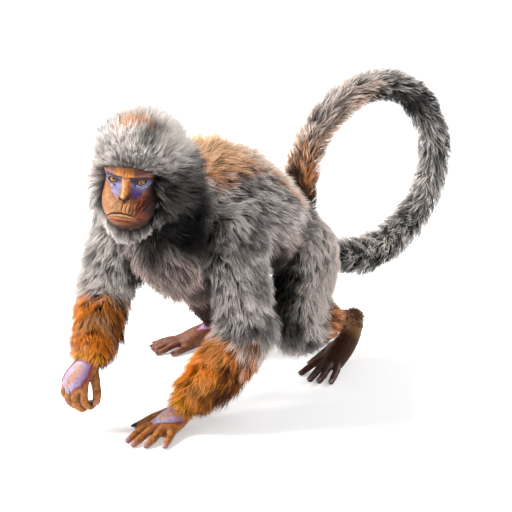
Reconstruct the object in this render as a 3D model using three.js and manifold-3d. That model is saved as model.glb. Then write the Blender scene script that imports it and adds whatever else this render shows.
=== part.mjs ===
// A still, life-size monkey on all fours in a low walk: left hand and right foot flat on the floor,
// left foot up on its toes, right hand lifted as a loose fist, long tail carried in a loop.
// Millimetres, +Z up. The animal faces -Y, its left side is +X and the floor is z = 0.
// The furred pieces are the outer surface of the coat; face, hands and feet are bare skin.
import * as THREE from "three";
import { mergeVertices } from "three/addons/utils/BufferGeometryUtils.js";
import Module from "manifold-3d";

const wasm = await Module();
wasm.setup();

const at = (x, y, z) => new THREE.Vector3(x, y, z);

// ---- driving dimensions -------------------------------------------------------------------------
const seam = 0.3; // gap that neighbouring pieces keep
const origin = at(-21.6, 122, 0); // where the middle of the floor box lies in the layout below
const up = at(0, 0, 1);
const leftward = at(1, 0, 0);

// Joint centres of the pose.
const joint = {
  shoulder_l: at(70, -108, 300), elbow_l: at(112, -112, 148), wrist_l: at(56, -205, 42),
  shoulder_r: at(-84, -153, 298), elbow_r: at(-118, -183, 180), wrist_r: at(-68, -276, 112),
  hip_l: at(58, 145, 205), knee_l: at(92, 40, 88), ankle_l: at(117, 181, 73),
  hip_r: at(-58, 150, 200), knee_r: at(-94, 42, 131), ankle_r: at(-112, 92, 42),
};

// The head turns towards the animal's left, tips down and leans a little.
const head = { eyes: at(23.3, -288.6, 415.4), yaw: 23, pitch: 8, roll: 4 };
const eye = { apart: 41, radius: 9, back: 3 };

// ---- solids ---------------------------------------------------------------------------------------
function solidOf(geometry) {
  const bare = new THREE.BufferGeometry()
    .setAttribute("position", geometry.getAttribute("position"))
    .setIndex(geometry.index);
  const merged = mergeVertices(bare, 1e-4);
  return new wasm.Manifold(
    new wasm.Mesh({
      numProp: 3,
      vertProperties: new Float32Array(merged.attributes.position.array),
      triVerts: new Uint32Array(merged.index.array),
    }),
  );
}

function geometryOf(solid) {
  const mesh = solid.getMesh();
  const geometry = new THREE.BufferGeometry();
  geometry.setAttribute("position", new THREE.BufferAttribute(mesh.vertProperties, 3));
  geometry.setIndex(new THREE.BufferAttribute(mesh.triVerts, 1));
  geometry.computeVertexNormals();
  return geometry;
}

const joined = (solids) => solids.reduce((all, one) => all.add(one));
const without = (solid, others) => others.reduce((left, other) => left.subtract(other), solid);

// Keeps what is above the floor, so that a sole or a palm rests on a small flat.
function aboveFloor(solid) {
  const ground = new THREE.BoxGeometry(2000, 2000, 200).translate(0, 0, -100);
  return solid.subtract(solidOf(ground));
}

// Rings of points, first to last, closed to a point at both ends.
function closedRings(rings, first, last) {
  const sides = rings[0].length;
  const points = [first, ...rings.flat(), last];
  const index = [];
  for (let j = 0; j < sides; j++) {
    const k = (j + 1) % sides;
    index.push(0, 1 + k, 1 + j);
    for (let i = 0; i + 1 < rings.length; i++) {
      const a = 1 + i * sides;
      const b = a + sides;
      index.push(a + j, a + k, b + k, a + j, b + k, b + j);
    }
    const end = 1 + (rings.length - 1) * sides;
    index.push(end + j, end + k, points.length - 1);
  }
  const geometry = new THREE.BufferGeometry().setFromPoints(points);
  geometry.setIndex(index);
  return geometry;
}

// A round-ended body along a smooth line. A station is [point, half width, half depth]; the width
// lies along `across`, and `grow` thickens the whole body, which makes the tool that cuts its seam.
function loft(stations, { across = leftward, sides = 10, rings = 5, capRings = 2 } = {}, grow = 0) {
  const line = new THREE.CatmullRomCurve3(stations.map((s) => s[0]));
  const sizes = new THREE.CatmullRomCurve3(stations.map((s) => at(s[1] + grow, s[2] + grow, 0)));
  const ringAt = (t, shift, shrink) => {
    const along = line.getTangent(t);
    const wide = across.clone().addScaledVector(along, -across.dot(along)).normalize();
    const deep = along.clone().cross(wide);
    const size = sizes.getPoint(t);
    const centre = line.getPoint(t).addScaledVector(along, shift);
    return Array.from({ length: sides }, (_, j) => {
      const a = (2 * Math.PI * j) / sides;
      return centre
        .clone()
        .addScaledVector(wide, size.x * shrink * Math.cos(a))
        .addScaledVector(deep, size.y * shrink * Math.sin(a));
    });
  };
  const capHeight = (t) => Math.min(sizes.getPoint(t).x, sizes.getPoint(t).y);
  const capAngles = Array.from({ length: capRings - 1 }, (_, i) => ((i + 1) * Math.PI) / 2 / capRings);
  const cap = (t, way) => capAngles.map((a) => ringAt(t, way * capHeight(t) * Math.sin(a), Math.cos(a)));
  const tip = (t, way) => line.getPoint(t).addScaledVector(line.getTangent(t), way * capHeight(t));
  const body = Array.from({ length: rings + 1 }, (_, i) => ringAt(i / rings, 0, 1));
  return solidOf(closedRings([...cap(0, -1).reverse(), ...body, ...cap(1, 1)], tip(0, -1), tip(1, 1)));
}

// Stations between two joints: each row is [share of the way, half width, half depth, lift along +Z].
const between = (from, to, rows) =>
  rows.map(([share, wide, deep, lift = 0]) => [
    from.clone().lerp(to, share).addScaledVector(up, lift), wide, deep,
  ]);

// ---- trunk and neck -------------------------------------------------------------------------------
// Rows run from chest to rump: [y, middle height, half width, half height, x].
const trunkRows = {
  chest: [[-150, 294, 80, 105, -5], [-105, 296, 93, 132, -2], [-60, 290, 98, 134, 0], [-5, 274, 98, 117, 0]],
  abdomen: [[-5, 274, 98, 117, 0], [60, 245, 92, 97, 0], [120, 216, 84, 71, 0], [165, 198, 70, 53, 0],
    [184, 193, 51, 42, 0]],
};
const trunkPiece = (name, grow) =>
  loft(trunkRows[name].map(([y, z, wide, high, x]) => [at(x, y, z), wide, high]),
    { sides: 16, rings: 5, capRings: 3 }, grow);

const neckPiece = (grow) =>
  loft([[at(-8, -130, 342), 76, 74], [at(-2, -160, 362), 78, 78], [at(4, -190, 382), 74, 74]],
    { sides: 12, rings: 2 }, grow);

// ---- head -----------------------------------------------------------------------------------------
const headFrame = new THREE.Group();
headFrame.rotation.set(
  THREE.MathUtils.degToRad(head.pitch),
  THREE.MathUtils.degToRad(head.roll),
  THREE.MathUtils.degToRad(head.yaw),
  "ZYX",
);
headFrame.position.copy(head.eyes);
headFrame.updateMatrixWorld(true);
const headSolid = (geometry) => solidOf(geometry.applyMatrix4(headFrame.matrixWorld));

const bump = (x, z, [cx, cz, wide, high, rise]) =>
  rise * Math.exp(-(((x - cx) / wide) ** 2) - ((z - cz) / high) ** 2);

// Face: level sections between chin and brow. Rows: [z, half width, how far the middle stands forward].
const faceRows = [[-76, 12, -6], [-71, 23, 12], [-63, 31, 24], [-54, 36, 29], [-46, 39, 32], [-38, 41, 32],
  [-30, 42, 28], [-22, 41, 21], [-12, 39, 14], [0, 37, 9], [9, 39.5, 12], [18, 39.5, 13], [27, 33, 6],
  [31, 18, -2]];
// `axis` is how far the sections' middle line lies behind the eyes, `behind` how far they reach behind
// it, and `flat`, below 1, makes the front of a section flatter than an ellipse.
const faceShape = { axis: 24, behind: 22, flat: 0.7, levels: 17, sides: 22, crowded: 0.45 };
const faceBumps = [
  [0, -21, 8, 8, 4], // nose tip
  [0, -4, 6, 16, 7], // nose bridge
  [0, 13, 40, 5.5, 4], // brow ridge
  [-20, -1, 10, 8, -4], [20, -1, 10, 8, -4], // eye sockets
  [0, -42.5, 26, 2.2, -3.5], // mouth
  [0, -37, 24, 4, 2], [0, -49, 20, 4, 2.5], // lips
];

function facePiece(grow) {
  const { axis, behind, flat, levels, sides, crowded } = faceShape;
  const line = new THREE.CatmullRomCurve3(faceRows.map(([z, wide, out]) => at(wide + grow, out + grow, z)));
  const rings = Array.from({ length: levels }, (_, i) => {
    const section = line.getPoint((i + 0.5) / levels);
    return Array.from({ length: sides }, (_, j) => {
      const turn = (j / sides) * 2 - 1;
      const a = Math.PI * turn * (1 - crowded + crowded * Math.abs(turn)); // closer together in front
      const x = section.x * Math.sin(a);
      const rise = faceBumps.reduce((sum, b) => sum + bump(x, section.z, b), 0);
      const front = Math.max(0, Math.cos(a)) ** flat * (section.y + axis + rise);
      return at(x, axis - (front > 0 ? front : behind * Math.cos(a)), section.z);
    });
  });
  const bottom = at(0, axis - behind / 4, faceRows[0][0] - grow);
  const top = at(0, axis - behind / 4, faceRows[faceRows.length - 1][0] + grow);
  return headSolid(closedRings(rings, bottom, top));
}

// Hood of fur round the face: a ball with a high crown, full cheeks, a beard, a nape and a hollow in
// front where the face sits. Rows: [towards x, y, z in the head's own frame, spread, rise].
const hood = { middle: at(5, 44, 8), radius: 76 };
const hoodRows = [
  [0.15, 0.6, 0.9, 0.75, 12], // crown
  [0.8, 0, -0.6, 0.55, 24], [-0.74, -0.1, -0.6, 0.5, 27], // cheeks
  [-0.1, -0.35, -0.93, 0.5, 40], // beard
  [0, 1, -0.1, 0.6, 12], [0.75, 0.45, 0.55, 0.45, 9], // nape and back of the crown
];
// The hollow is a window in turn and height, seen from the middle of the ball, in degrees.
const hollow = { depth: 34, turn: -4, half: 46, top: 14, bottom: -54, soft: 4 };

function hollowAt(way) {
  const turn = THREE.MathUtils.radToDeg(Math.atan2(way.x, -way.y)) - hollow.turn;
  const height = THREE.MathUtils.radToDeg(Math.asin(way.z));
  const inside = (gap) => 1 / (1 + Math.exp(-gap / hollow.soft));
  const window = inside(hollow.half - Math.abs(turn)) * inside(hollow.top - height);
  return hollow.depth * window * inside(height - hollow.bottom);
}

function hoodPiece(grow) {
  const ball = new THREE.SphereGeometry(1, 22, 15).rotateX(Math.PI / 2);
  const place = ball.getAttribute("position");
  for (let i = 0; i < place.count; i++) {
    const way = new THREE.Vector3().fromBufferAttribute(place, i).normalize();
    const reach = hoodRows.reduce((sum, [x, y, z, spread, rise]) => {
      const off = way.distanceTo(at(x, y, z).normalize()) / spread;
      return sum + rise * Math.exp(-off * off);
    }, hood.radius + grow - hollowAt(way));
    place.setXYZ(i, ...hood.middle.clone().addScaledVector(way, reach).toArray());
  }
  return headSolid(ball);
}

function eyePiece(side, grow) {
  const ball = new THREE.SphereGeometry(eye.radius + grow, 10, 7).rotateX(Math.PI / 2);
  return headSolid(ball.translate((side * eye.apart) / 2, eye.back, 0));
}

// ---- limbs ----------------------------------------------------------------------------------------
const limbPieces = {
  upper_arm_l: (g) => loft(between(joint.shoulder_l, joint.elbow_l,
    [[0, 42, 58], [0.25, 48, 62], [0.5, 44, 56], [0.85, 42, 50], [1.02, 38, 42]]), {}, g),
  forearm_l: (g) => loft(between(joint.elbow_l, joint.wrist_l,
    [[0.05, 40, 42], [0.35, 40, 46, -8], [0.65, 37, 42, -12], [0.88, 29, 29, -4]]), {}, g),
  upper_arm_r: (g) => loft(between(joint.shoulder_r, joint.elbow_r,
    [[0, 50, 54], [0.25, 54, 57], [0.5, 51, 53], [0.85, 45, 45], [1.02, 39, 41]]), {}, g),
  forearm_r: (g) => loft(between(joint.elbow_r, joint.wrist_r,
    [[0.05, 41, 41], [0.35, 39, 40, -4], [0.65, 36, 36, -4], [0.9, 27, 26]]), {}, g),
  thigh_l: (g) => loft(between(joint.hip_l, joint.knee_l,
    [[0, 44, 56], [0.2, 52, 70, 4], [0.6, 48, 67, 10], [0.95, 42, 50, 4]]), {}, g),
  shin_l: (g) => loft(between(joint.knee_l, joint.ankle_l,
    [[0.06, 40, 42], [0.4, 36, 38, 10], [0.7, 25, 27, 2], [0.88, 20, 20]]), {}, g),
  thigh_r: (g) => loft(between(joint.hip_r, joint.knee_r,
    [[0, 50, 64], [0.2, 54, 70], [0.6, 48, 60], [0.95, 42, 46]]), {}, g),
  shin_r: (g) => loft(between(joint.knee_r, joint.ankle_r,
    [[0.06, 38, 40], [0.4, 33, 35], [0.75, 27, 29], [0.96, 22, 24]]), {}, g),
};

// ---- hands and feet -------------------------------------------------------------------------------
// A digit runs through its knuckles to its tip; `thick` is its half width at the knuckle.
const digitShape = { taper: 0.22, flat: 0.92 };

function digit(points, thick) {
  const stations = points.map((p, i) => {
    const r = thick * (1 - (digitShape.taper * i) / (points.length - 1));
    return [p, r, r * digitShape.flat];
  });
  return loft(stations, { sides: 6, rings: points.length, capRings: 1 });
}

// A palm or sole: flat oval sections from the heel end to the knuckles.
const palm = (rows, across) => loft(rows, { across, sides: 8, rings: 4 });

// Each digit is [points, thick], from the thumb or big toe to the little one.
const extremities = {
  hand_l: {
    across: at(0.93, 0.37, 0),
    palm: [[at(56, -203, 37), 18, 13], [at(50, -216, 24), 20, 14], [at(45, -232, 16), 22, 16],
      [at(42, -246, 12), 21, 13]],
    digits: [
      [[at(30, -216, 24), at(12, -230, 15), at(-4, -249, 4.5)], 8],
      [[at(29, -242, 15), at(21, -262, 13), at(18, -280, 8), at(17, -296, 4)], 7],
      [[at(38, -246, 16), at(36, -268, 14), at(33, -286, 8), at(32, -302, 4)], 7.4],
      [[at(48, -243, 15), at(50, -262, 13), at(51, -279, 8), at(50, -294, 4)], 7.2],
      [[at(57, -236, 13), at(65, -250, 11), at(70, -265, 7), at(74, -279, 4)], 6.6],
    ],
  },
  hand_r: {
    across: at(0.93, 0.2, 0.2),
    palm: [[at(-70, -276, 112), 18, 12], [at(-73, -288, 100), 20, 13], [at(-77, -300, 86), 23, 13],
      [at(-79, -307, 76), 23, 11]],
    digits: [
      [[at(-61, -281, 98), at(-54, -285, 80), at(-49, -288, 62), at(-50, -289, 48)], 8.5],
      [[at(-62, -303, 74), at(-59, -306, 53), at(-57, -296, 41), at(-58, -282, 43)], 7.2],
      [[at(-73, -309, 71), at(-71, -312, 49), at(-69, -301, 36), at(-68, -286, 38)], 7.4],
      [[at(-85, -309, 71), at(-85, -312, 51), at(-83, -301, 38), at(-80, -287, 40)], 7.2],
      [[at(-96, -304, 75), at(-98, -307, 57), at(-96, -297, 45), at(-92, -285, 46)], 6.8],
    ],
  },
  foot_l: {
    across: at(0.95, 0.12, 0.1),
    palm: [[at(119, 174, 61), 15, 16], [at(121, 160, 46), 18, 16], [at(118, 138, 28), 22, 14],
      [at(115, 118, 15), 23, 12]],
    digits: [
      [[at(99, 146, 30), at(87, 130, 16), at(77, 114, 4.5)], 7.8],
      [[at(101, 120, 17), at(95, 98, 14), at(90, 82, 8), at(87, 68, 4)], 6.9],
      [[at(110, 115, 17), at(111, 90, 14), at(112, 72, 8), at(113, 55, 4)], 7.3],
      [[at(120, 112, 16), at(124, 90, 13), at(127, 74, 8), at(129, 58, 4)], 7.1],
      [[at(129, 114, 14), at(138, 96, 11), at(143, 80, 7), at(147, 66, 4)], 6.6],
    ],
  },
  foot_r: {
    across: at(0.8, -0.55, 0),
    palm: [[at(-104, 108, 18), 15, 19], [at(-114, 90, 21), 18, 22], [at(-130, 66, 17), 21, 18],
      [at(-142, 48, 12), 22, 13]],
    digits: [
      [[at(-120, 66, 13), at(-124, 44, 9), at(-130, 26, 6), at(-134, 9, 4)], 7.4],
      [[at(-132, 50, 15), at(-145, 28, 12), at(-152, 12, 7), at(-158, -3, 3.5)], 6.4],
      [[at(-142, 46, 15), at(-157, 29, 12), at(-166, 17, 7), at(-174, 7, 3.5)], 6.6],
      [[at(-150, 50, 14), at(-166, 35, 11), at(-176, 24, 7), at(-184, 15, 3.5)], 6.4],
      [[at(-156, 56, 13), at(-172, 45, 10), at(-182, 36, 7), at(-190, 29, 3.5)], 5.8],
    ],
  },
};

const extremity = (name) => {
  const { across, palm: rows, digits } = extremities[name];
  return aboveFloor(joined([palm(rows, across), ...digits.map((one) => digit(...one))]));
};

// A nail: a short curved plate on top of the last joint, sunk halfway into it. Its half sizes and its
// place beyond the tip and above it are shares of the digit's half width.
const nailShape = { wide: 0.52, long: 0.82, thick: 0.22, beyond: 0.22, above: 0.62 };

function nail(name, n, grow) {
  const [points, thick] = extremities[name].digits[n];
  const [before, tip] = points.slice(-2);
  const along = tip.clone().sub(before).normalize();
  const wide = along.clone().cross(up).normalize();
  const back = wide.clone().cross(along).normalize();
  const plate = new THREE.SphereGeometry(1, 5, 3);
  plate.scale(...[nailShape.wide, nailShape.long, nailShape.thick].map((share) => thick * share + grow));
  plate.applyMatrix4(new THREE.Matrix4().makeBasis(wide, along, back));
  const spot = tip.clone().addScaledVector(along, thick * nailShape.beyond);
  spot.addScaledVector(back, thick * nailShape.above);
  return solidOf(plate.translate(spot.x, spot.y, spot.z));
}

// ---- tail -----------------------------------------------------------------------------------------
// The loop lies in an upright plane that leans a little to the animal's left.
const loop = { lean: 80, middle: 354, height: 271.5, reach: 172, rise: 152, side: -32, from: 181, to: -126 };
// Below its farthest point the loop is a little fuller than an ellipse.
const loopSwell = { by: 8, at: -15, spread: 38 };
const tailPieces = 5;
const tailGirth = [[0, 30], [0.15, 29], [0.3, 29], [0.55, 32], [0.8, 36], [0.95, 39], [1, 30]]; // share, radius

function tailPoint(share) {
  const a = THREE.MathUtils.degToRad(loop.from + (loop.to - loop.from) * share);
  const lean = THREE.MathUtils.degToRad(loop.lean);
  const past = (THREE.MathUtils.radToDeg(a) - loopSwell.at) / loopSwell.spread;
  const swell = loopSwell.by * Math.exp(-past * past);
  const reach = loop.middle + (loop.reach + swell) * Math.cos(a);
  return at(
    reach * Math.cos(lean) + loop.side * Math.sin(lean),
    reach * Math.sin(lean) - loop.side * Math.cos(lean),
    loop.height + (loop.rise + swell) * Math.sin(a),
  );
}

function tailRadius(share) {
  const i = Math.max(1, tailGirth.findIndex(([s]) => s >= share));
  const [[s0, r0], [s1, r1]] = [tailGirth[i - 1], tailGirth[i]];
  return THREE.MathUtils.lerp(r0, r1, (share - s0) / (s1 - s0));
}

function tailPiece(n, grow) {
  const stations = Array.from({ length: 5 }, (_, i) => {
    const share = (n + i / 4) / tailPieces;
    return [tailPoint(share), tailRadius(share), tailRadius(share)];
  });
  return loft(stations, { sides: 9, rings: 4 }, grow);
}

// ---- assembly -------------------------------------------------------------------------------------
const finish = (color, roughness) => new THREE.MeshStandardMaterial({ color, roughness, metalness: 0 });
const material = {
  grey: finish(0x9a9391, 0.85), orange: finish(0xc8742a, 0.8), skin: finish(0xc98a52, 0.6),
  dark: finish(0x55504e, 0.85), iris: finish(0xb87a1c, 0.1), nail: finish(0x8a6f6a, 0.4),
};

const monkey = new THREE.Group();
monkey.position.copy(origin).negate();
monkey.updateMatrixWorld(true);

// Adds a mesh in a group of its own at its pivot, inside the group it hangs from.
function add(parent, name, solid, pivot, look) {
  const group = new THREE.Group();
  parent.add(group);
  group.position.copy(parent.worldToLocal(pivot.clone().sub(origin)));
  group.updateMatrixWorld(true);
  const shift = pivot.clone().negate();
  const mesh = new THREE.Mesh(geometryOf(solid).translate(shift.x, shift.y, shift.z), look);
  mesh.name = name;
  group.add(mesh);
  return group;
}

const chest = trunkPiece("chest", 0);
const chestTool = trunkPiece("chest", seam);
const trunkTools = [chestTool, trunkPiece("abdomen", seam)];
const abdomen = without(trunkPiece("abdomen", 0), [chestTool]);
const root = add(monkey, "chest", chest, at(0, -60, 288), material.grey);
const hips = add(root, "abdomen", abdomen, at(0, 60, 256), material.grey);

const neckTool = neckPiece(seam);
const faceTool = facePiece(seam);
const eyeTools = [-1, 1].map((side) => eyePiece(side, seam));
const neckSolid = without(neckPiece(0), [...trunkTools, hoodPiece(seam), faceTool]);
const neckGroup = add(root, "neck", neckSolid, at(-4, -150, 355), material.grey);
const hoodSolid = without(hoodPiece(0), [...trunkTools, faceTool, ...eyeTools]);
const skull = add(neckGroup, "head", hoodSolid, head.eyes, material.grey);
add(skull, "face", without(facePiece(0), eyeTools), head.eyes, material.skin);
for (const [name, side] of [["eye_l", 1], ["eye_r", -1]])
  add(skull, name, eyePiece(side, 0), head.eyes, material.iris);

function addLimb(parent, side, names, pivots) {
  const [upper, lower, end] = names.map((n) => `${n}_${side}`);
  const upperTool = limbPieces[upper](seam);
  const lowerTool = limbPieces[lower](seam);
  const blocked = [...trunkTools, neckTool];
  const top = add(parent, upper, without(limbPieces[upper](0), blocked), pivots[0], material.grey);
  const middle = without(limbPieces[lower](0), [...blocked, upperTool]);
  const low = add(top, lower, aboveFloor(middle), pivots[1], material.orange);
  const bare = without(extremity(end), [lowerTool]);
  const nails = extremities[end].digits.map((_, n) => nail(end, n, 0));
  const nailTools = extremities[end].digits.map((_, n) => nail(end, n, seam));
  const last = add(low, end, without(bare, nailTools), pivots[2], material.skin);
  nails.forEach((one, n) => add(last, `nail_${end}_${n + 1}`, one, pivots[2], material.nail));
}
for (const side of ["l", "r"]) {
  const pivots = (...names) => names.map((name) => joint[`${name}_${side}`]);
  addLimb(root, side, ["upper_arm", "forearm", "hand"], pivots("shoulder", "elbow", "wrist"));
  addLimb(hips, side, ["thigh", "shin", "foot"], pivots("hip", "knee", "ankle"));
}

let carrier = hips;
for (let n = 0; n < tailPieces; n++) {
  const piece = without(tailPiece(n, 0), n ? [tailPiece(n - 1, seam)] : trunkTools);
  const look = n < 2 ? material.orange : material.dark;
  carrier = add(carrier, `tail_${n + 1}`, piece, tailPoint(n / tailPieces), look);
}

export default monkey;
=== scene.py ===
# The monkey's skin, coat, eyes and nails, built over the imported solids.
# Metres, +Z up; the animal faces -Y and its left side is +X.
import math

import bpy
import numpy as np
import openvdb as vdb
from mathutils import Matrix, Vector, kdtree


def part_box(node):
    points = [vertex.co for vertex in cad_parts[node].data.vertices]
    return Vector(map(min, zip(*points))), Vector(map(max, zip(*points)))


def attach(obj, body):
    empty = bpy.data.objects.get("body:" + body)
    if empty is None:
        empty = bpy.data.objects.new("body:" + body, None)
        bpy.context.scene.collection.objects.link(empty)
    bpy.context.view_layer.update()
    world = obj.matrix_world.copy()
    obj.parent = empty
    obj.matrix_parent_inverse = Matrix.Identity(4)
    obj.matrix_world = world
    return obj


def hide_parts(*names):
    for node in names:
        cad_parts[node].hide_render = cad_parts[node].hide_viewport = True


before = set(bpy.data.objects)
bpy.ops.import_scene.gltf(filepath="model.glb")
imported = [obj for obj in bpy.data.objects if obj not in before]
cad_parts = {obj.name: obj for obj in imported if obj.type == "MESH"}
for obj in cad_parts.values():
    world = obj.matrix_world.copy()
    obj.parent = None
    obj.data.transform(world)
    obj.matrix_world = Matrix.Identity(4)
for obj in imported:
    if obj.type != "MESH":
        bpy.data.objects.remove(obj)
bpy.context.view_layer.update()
print("stage: frame loaded")


# Layout sizes are millimetres, as in the part's source; toFrame turns them into metres in the frame.
headPose = {"eyes": (23.3, -288.6, 415.4), "yaw": 23, "pitch": 8, "roll": 4}
eyeSize = {"apart": 41, "radius": 9, "back": 3}


def turnAbout(axis, degrees):
    return np.array(Matrix.Rotation(math.radians(degrees), 3, axis))


headTurn = turnAbout("Z", headPose["yaw"]) @ turnAbout("Y", headPose["roll"])
headTurn = headTurn @ turnAbout("X", headPose["pitch"])


def headToLayout(points):
    return np.asarray(points, float) @ headTurn.T + np.array(headPose["eyes"])


def layoutToHead(points):
    return (np.asarray(points, float) - np.array(headPose["eyes"])) @ headTurn


leftEye = headToLayout((eyeSize["apart"] / 2, eyeSize["back"], 0))
eyeLow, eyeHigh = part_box("eye_l")
layoutOrigin = leftEye - 500 * (np.array(eyeLow) + np.array(eyeHigh))
layoutOrigin = np.round(layoutOrigin, 1)


def toFrame(points):
    return (np.asarray(points, float) - layoutOrigin) * 0.001


# A rounded peak of 1 round the middle, which fades to nothing over a few widths.
def bell(x, middle, width):
    return np.exp(-(((x - middle) / width) ** 2))


# The named values of a dictionary, in the given order.
def take(values, names):
    return (values[name] for name in names.split())


def unit(v):
    return v / np.maximum(np.linalg.norm(v, axis=-1, keepdims=True), 1e-9)


def smooth(low, high, x):
    t = np.clip((x - low) / (high - low), 0, 1)
    return t * t * (3 - 2 * t)


# Camera, light and floor.
cameraView = {"azimuth": 35.5, "elevation": 19.8, "distance": 2.86, "lens": 126.3, "sensor": 36}
cameraTarget = toFrame((43.9, 0, 220))
studio = {"floor": 30.0, "world": 0.4, "aim": (0, 0, 0.25)}
lamps = {
    "key": {"place": (-1.9, -1.6, 2.1), "watts": 120.0, "size": 1.0, "colour": (1, 0.97, 0.94)},
    "fill": {"place": (2.2, -1.6, 1.2), "watts": 4.0, "size": 2.0, "colour": (0.93, 0.96, 1)},
    "rim": {"place": (-1.66, -0.26, 2.2), "watts": 55.0, "size": 0.8, "colour": (1, 1, 1)},
    "back": {"place": (0.64, 1.85, 1.2), "watts": 25.0, "size": 0.8, "colour": (1, 1, 1)},
}


def addCamera():
    a, e = math.radians(cameraView["azimuth"]), math.radians(cameraView["elevation"])
    back = Vector((math.sin(a) * math.cos(e), -math.cos(a) * math.cos(e), math.sin(e)))
    data = bpy.data.cameras.new("camera")
    data.lens = cameraView["lens"]
    data.sensor_width = cameraView["sensor"]
    camera = bpy.data.objects.new("camera", data)
    camera.location = Vector(cameraTarget) + back * cameraView["distance"]
    camera.rotation_euler = back.to_track_quat("Z", "Y").to_euler()
    bpy.context.scene.collection.objects.link(camera)
    bpy.context.scene.camera = camera


def addSoftLight(name):
    data = bpy.data.lights.new(name, "AREA")
    data.energy, data.size, data.color = take(lamps[name], "watts size colour")
    lamp = bpy.data.objects.new(name, data)
    lamp.location = lamps[name]["place"]
    aim = Vector(lamp.location) - Vector(studio["aim"])
    lamp.rotation_euler = aim.to_track_quat("Z", "Y").to_euler()
    bpy.context.scene.collection.objects.link(lamp)


# Sets the values of a node's sockets by name.
def setInputs(node, values):
    for socket, value in values.items():
        node.inputs[socket].default_value = value


def addStudio():
    scene = bpy.context.scene
    scene.view_settings.view_transform = "Standard"
    world = bpy.data.worlds.new("studio")
    scene.world = world
    world.use_nodes = True
    nodes, links = world.node_tree.nodes, world.node_tree.links
    shade = nodes["Background"]
    setInputs(shade, {"Color": (1, 1, 1, 1), "Strength": studio["world"]})
    seen = nodes.new("ShaderNodeBackground")
    setInputs(seen, {"Color": (1, 1, 1, 1), "Strength": 1.0})
    path = nodes.new("ShaderNodeLightPath")
    mix = nodes.new("ShaderNodeMixShader")
    links.new(path.outputs["Is Camera Ray"], mix.inputs[0])
    links.new(shade.outputs[0], mix.inputs[1])
    links.new(seen.outputs[0], mix.inputs[2])
    links.new(mix.outputs[0], nodes["World Output"].inputs["Surface"])
    for name in lamps:
        addSoftLight(name)
    mesh = bpy.data.meshes.new("floor")
    h = studio["floor"] / 2
    mesh.from_pydata([(-h, -h, 0), (h, -h, 0), (h, h, 0), (-h, h, 0)], [], [(0, 1, 2, 3)])
    floor = bpy.data.objects.new("floor", mesh)
    scene.collection.objects.link(floor)
    material = bpy.data.materials.new("floor_white")
    material.use_nodes = True
    setInputs(material.node_tree.nodes["Principled BSDF"], {
        "Base Color": (0.9, 0.9, 0.9, 1), "Roughness": 0.8,
        "Emission Color": (1, 1, 1, 1), "Emission Strength": 0.4,
    })
    mesh.materials.append(material)


addCamera()
addStudio()
print("stage: camera and studio")


# Shape of the body. A tube is a row of stations along a line: [point, half width, half depth]; the
# width lies along `across`. Sizes are those of the skin, inside the coat.
joints = {
    "shoulder_l": (70, -108, 300), "elbow_l": (112, -112, 148), "wrist_l": (56, -205, 42),
    "shoulder_r": (-84, -153, 298), "elbow_r": (-118, -183, 180), "wrist_r": (-68, -276, 112),
    "hip_l": (58, 145, 205), "knee_l": (92, 40, 88), "ankle_l": (117, 181, 73),
    "hip_r": (-58, 150, 200), "knee_r": (-94, 42, 131), "ankle_r": (-112, 92, 42),
}
# Rows: [y, middle height, half width, half height, x] of the coat's surface.
trunkRows = {
    "coat": 22,
    "rows": [
        (-150, 294, 80, 105, -5), (-105, 296, 93, 132, -2), (-60, 290, 98, 134, 0), (-5, 274, 98, 117, 0),
        (60, 245, 92, 97, 0), (120, 216, 84, 71, 0), (165, 198, 70, 53, 0), (184, 193, 51, 42, 0),
    ],
}
# Rows: [share of the way, half width, half depth, lift, coat's depth].
limbRows = {
    "upper_arm_l": [
        (0, 42, 58, 0, 16), (.25, 48, 62, 0, 18), (.5, 44, 56, 0, 18), (.85, 42, 50, 0, 18),
        (1.02, 38, 42, 0, 16),
    ],
    "forearm_l": [
        (.05, 40, 42, 0, 15), (.35, 40, 46, -6, 16), (.65, 37, 42, -6, 17), (.88, 29, 29, 0, 13),
        (1.04, 17, 13, 0, 0),
    ],
    "upper_arm_r": [
        (0, 50, 54, 0, 18), (.25, 54, 57, 0, 20), (.5, 51, 53, 0, 20), (.85, 45, 45, 0, 19),
        (1.02, 39, 41, 0, 16),
    ],
    "forearm_r": [
        (.05, 41, 41, 0, 16), (.35, 39, 40, -2, 16), (.65, 36, 36, -2, 16), (.9, 27, 26, 0, 11),
        (1.04, 17, 12, 0, 0),
    ],
    "thigh_l": [(0, 44, 56, 0, 16), (.2, 52, 70, 4, 18), (.6, 48, 67, 10, 18), (.95, 42, 50, 4, 16)],
    "shin_l": [
        (.06, 40, 42, 0, 16), (.4, 36, 38, 10, 15), (.7, 25, 27, 2, 10), (.88, 20, 20, 0, 6),
        (1, 15, 16, 0, 0),
    ],
    "thigh_r": [(0, 50, 64, 0, 18), (.2, 54, 70, 0, 18), (.6, 48, 60, 0, 18), (.95, 42, 46, 0, 16)],
    "shin_r": [
        (.06, 38, 40, 0, 16), (.4, 33, 35, 0, 14), (.75, 27, 29, 0, 10), (.96, 22, 24, 0, 7),
        (1.04, 16, 18, 0, 0),
    ],
}
limbEnds = {
    "upper_arm": ("shoulder", "elbow"), "forearm": ("elbow", "wrist"),
    "thigh": ("hip", "knee"), "shin": ("knee", "ankle"),
}
tailLoop = {
    "lean": 80, "middle": 354, "height": 271.5, "reach": 172, "rise": 152, "side": -32, "from": 181,
    "to": -126,
}
loopSwell = {"by": 8, "at": -15, "spread": 38}
# Rows: [share of the tail, radius of the coat, coat's depth].
tailRows = [
    (0, 30, 12), (.15, 29, 12), (.3, 29, 12), (.55, 32, 15), (.8, 36, 19), (.95, 39, 22), (1, 30, 20)
]


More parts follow.
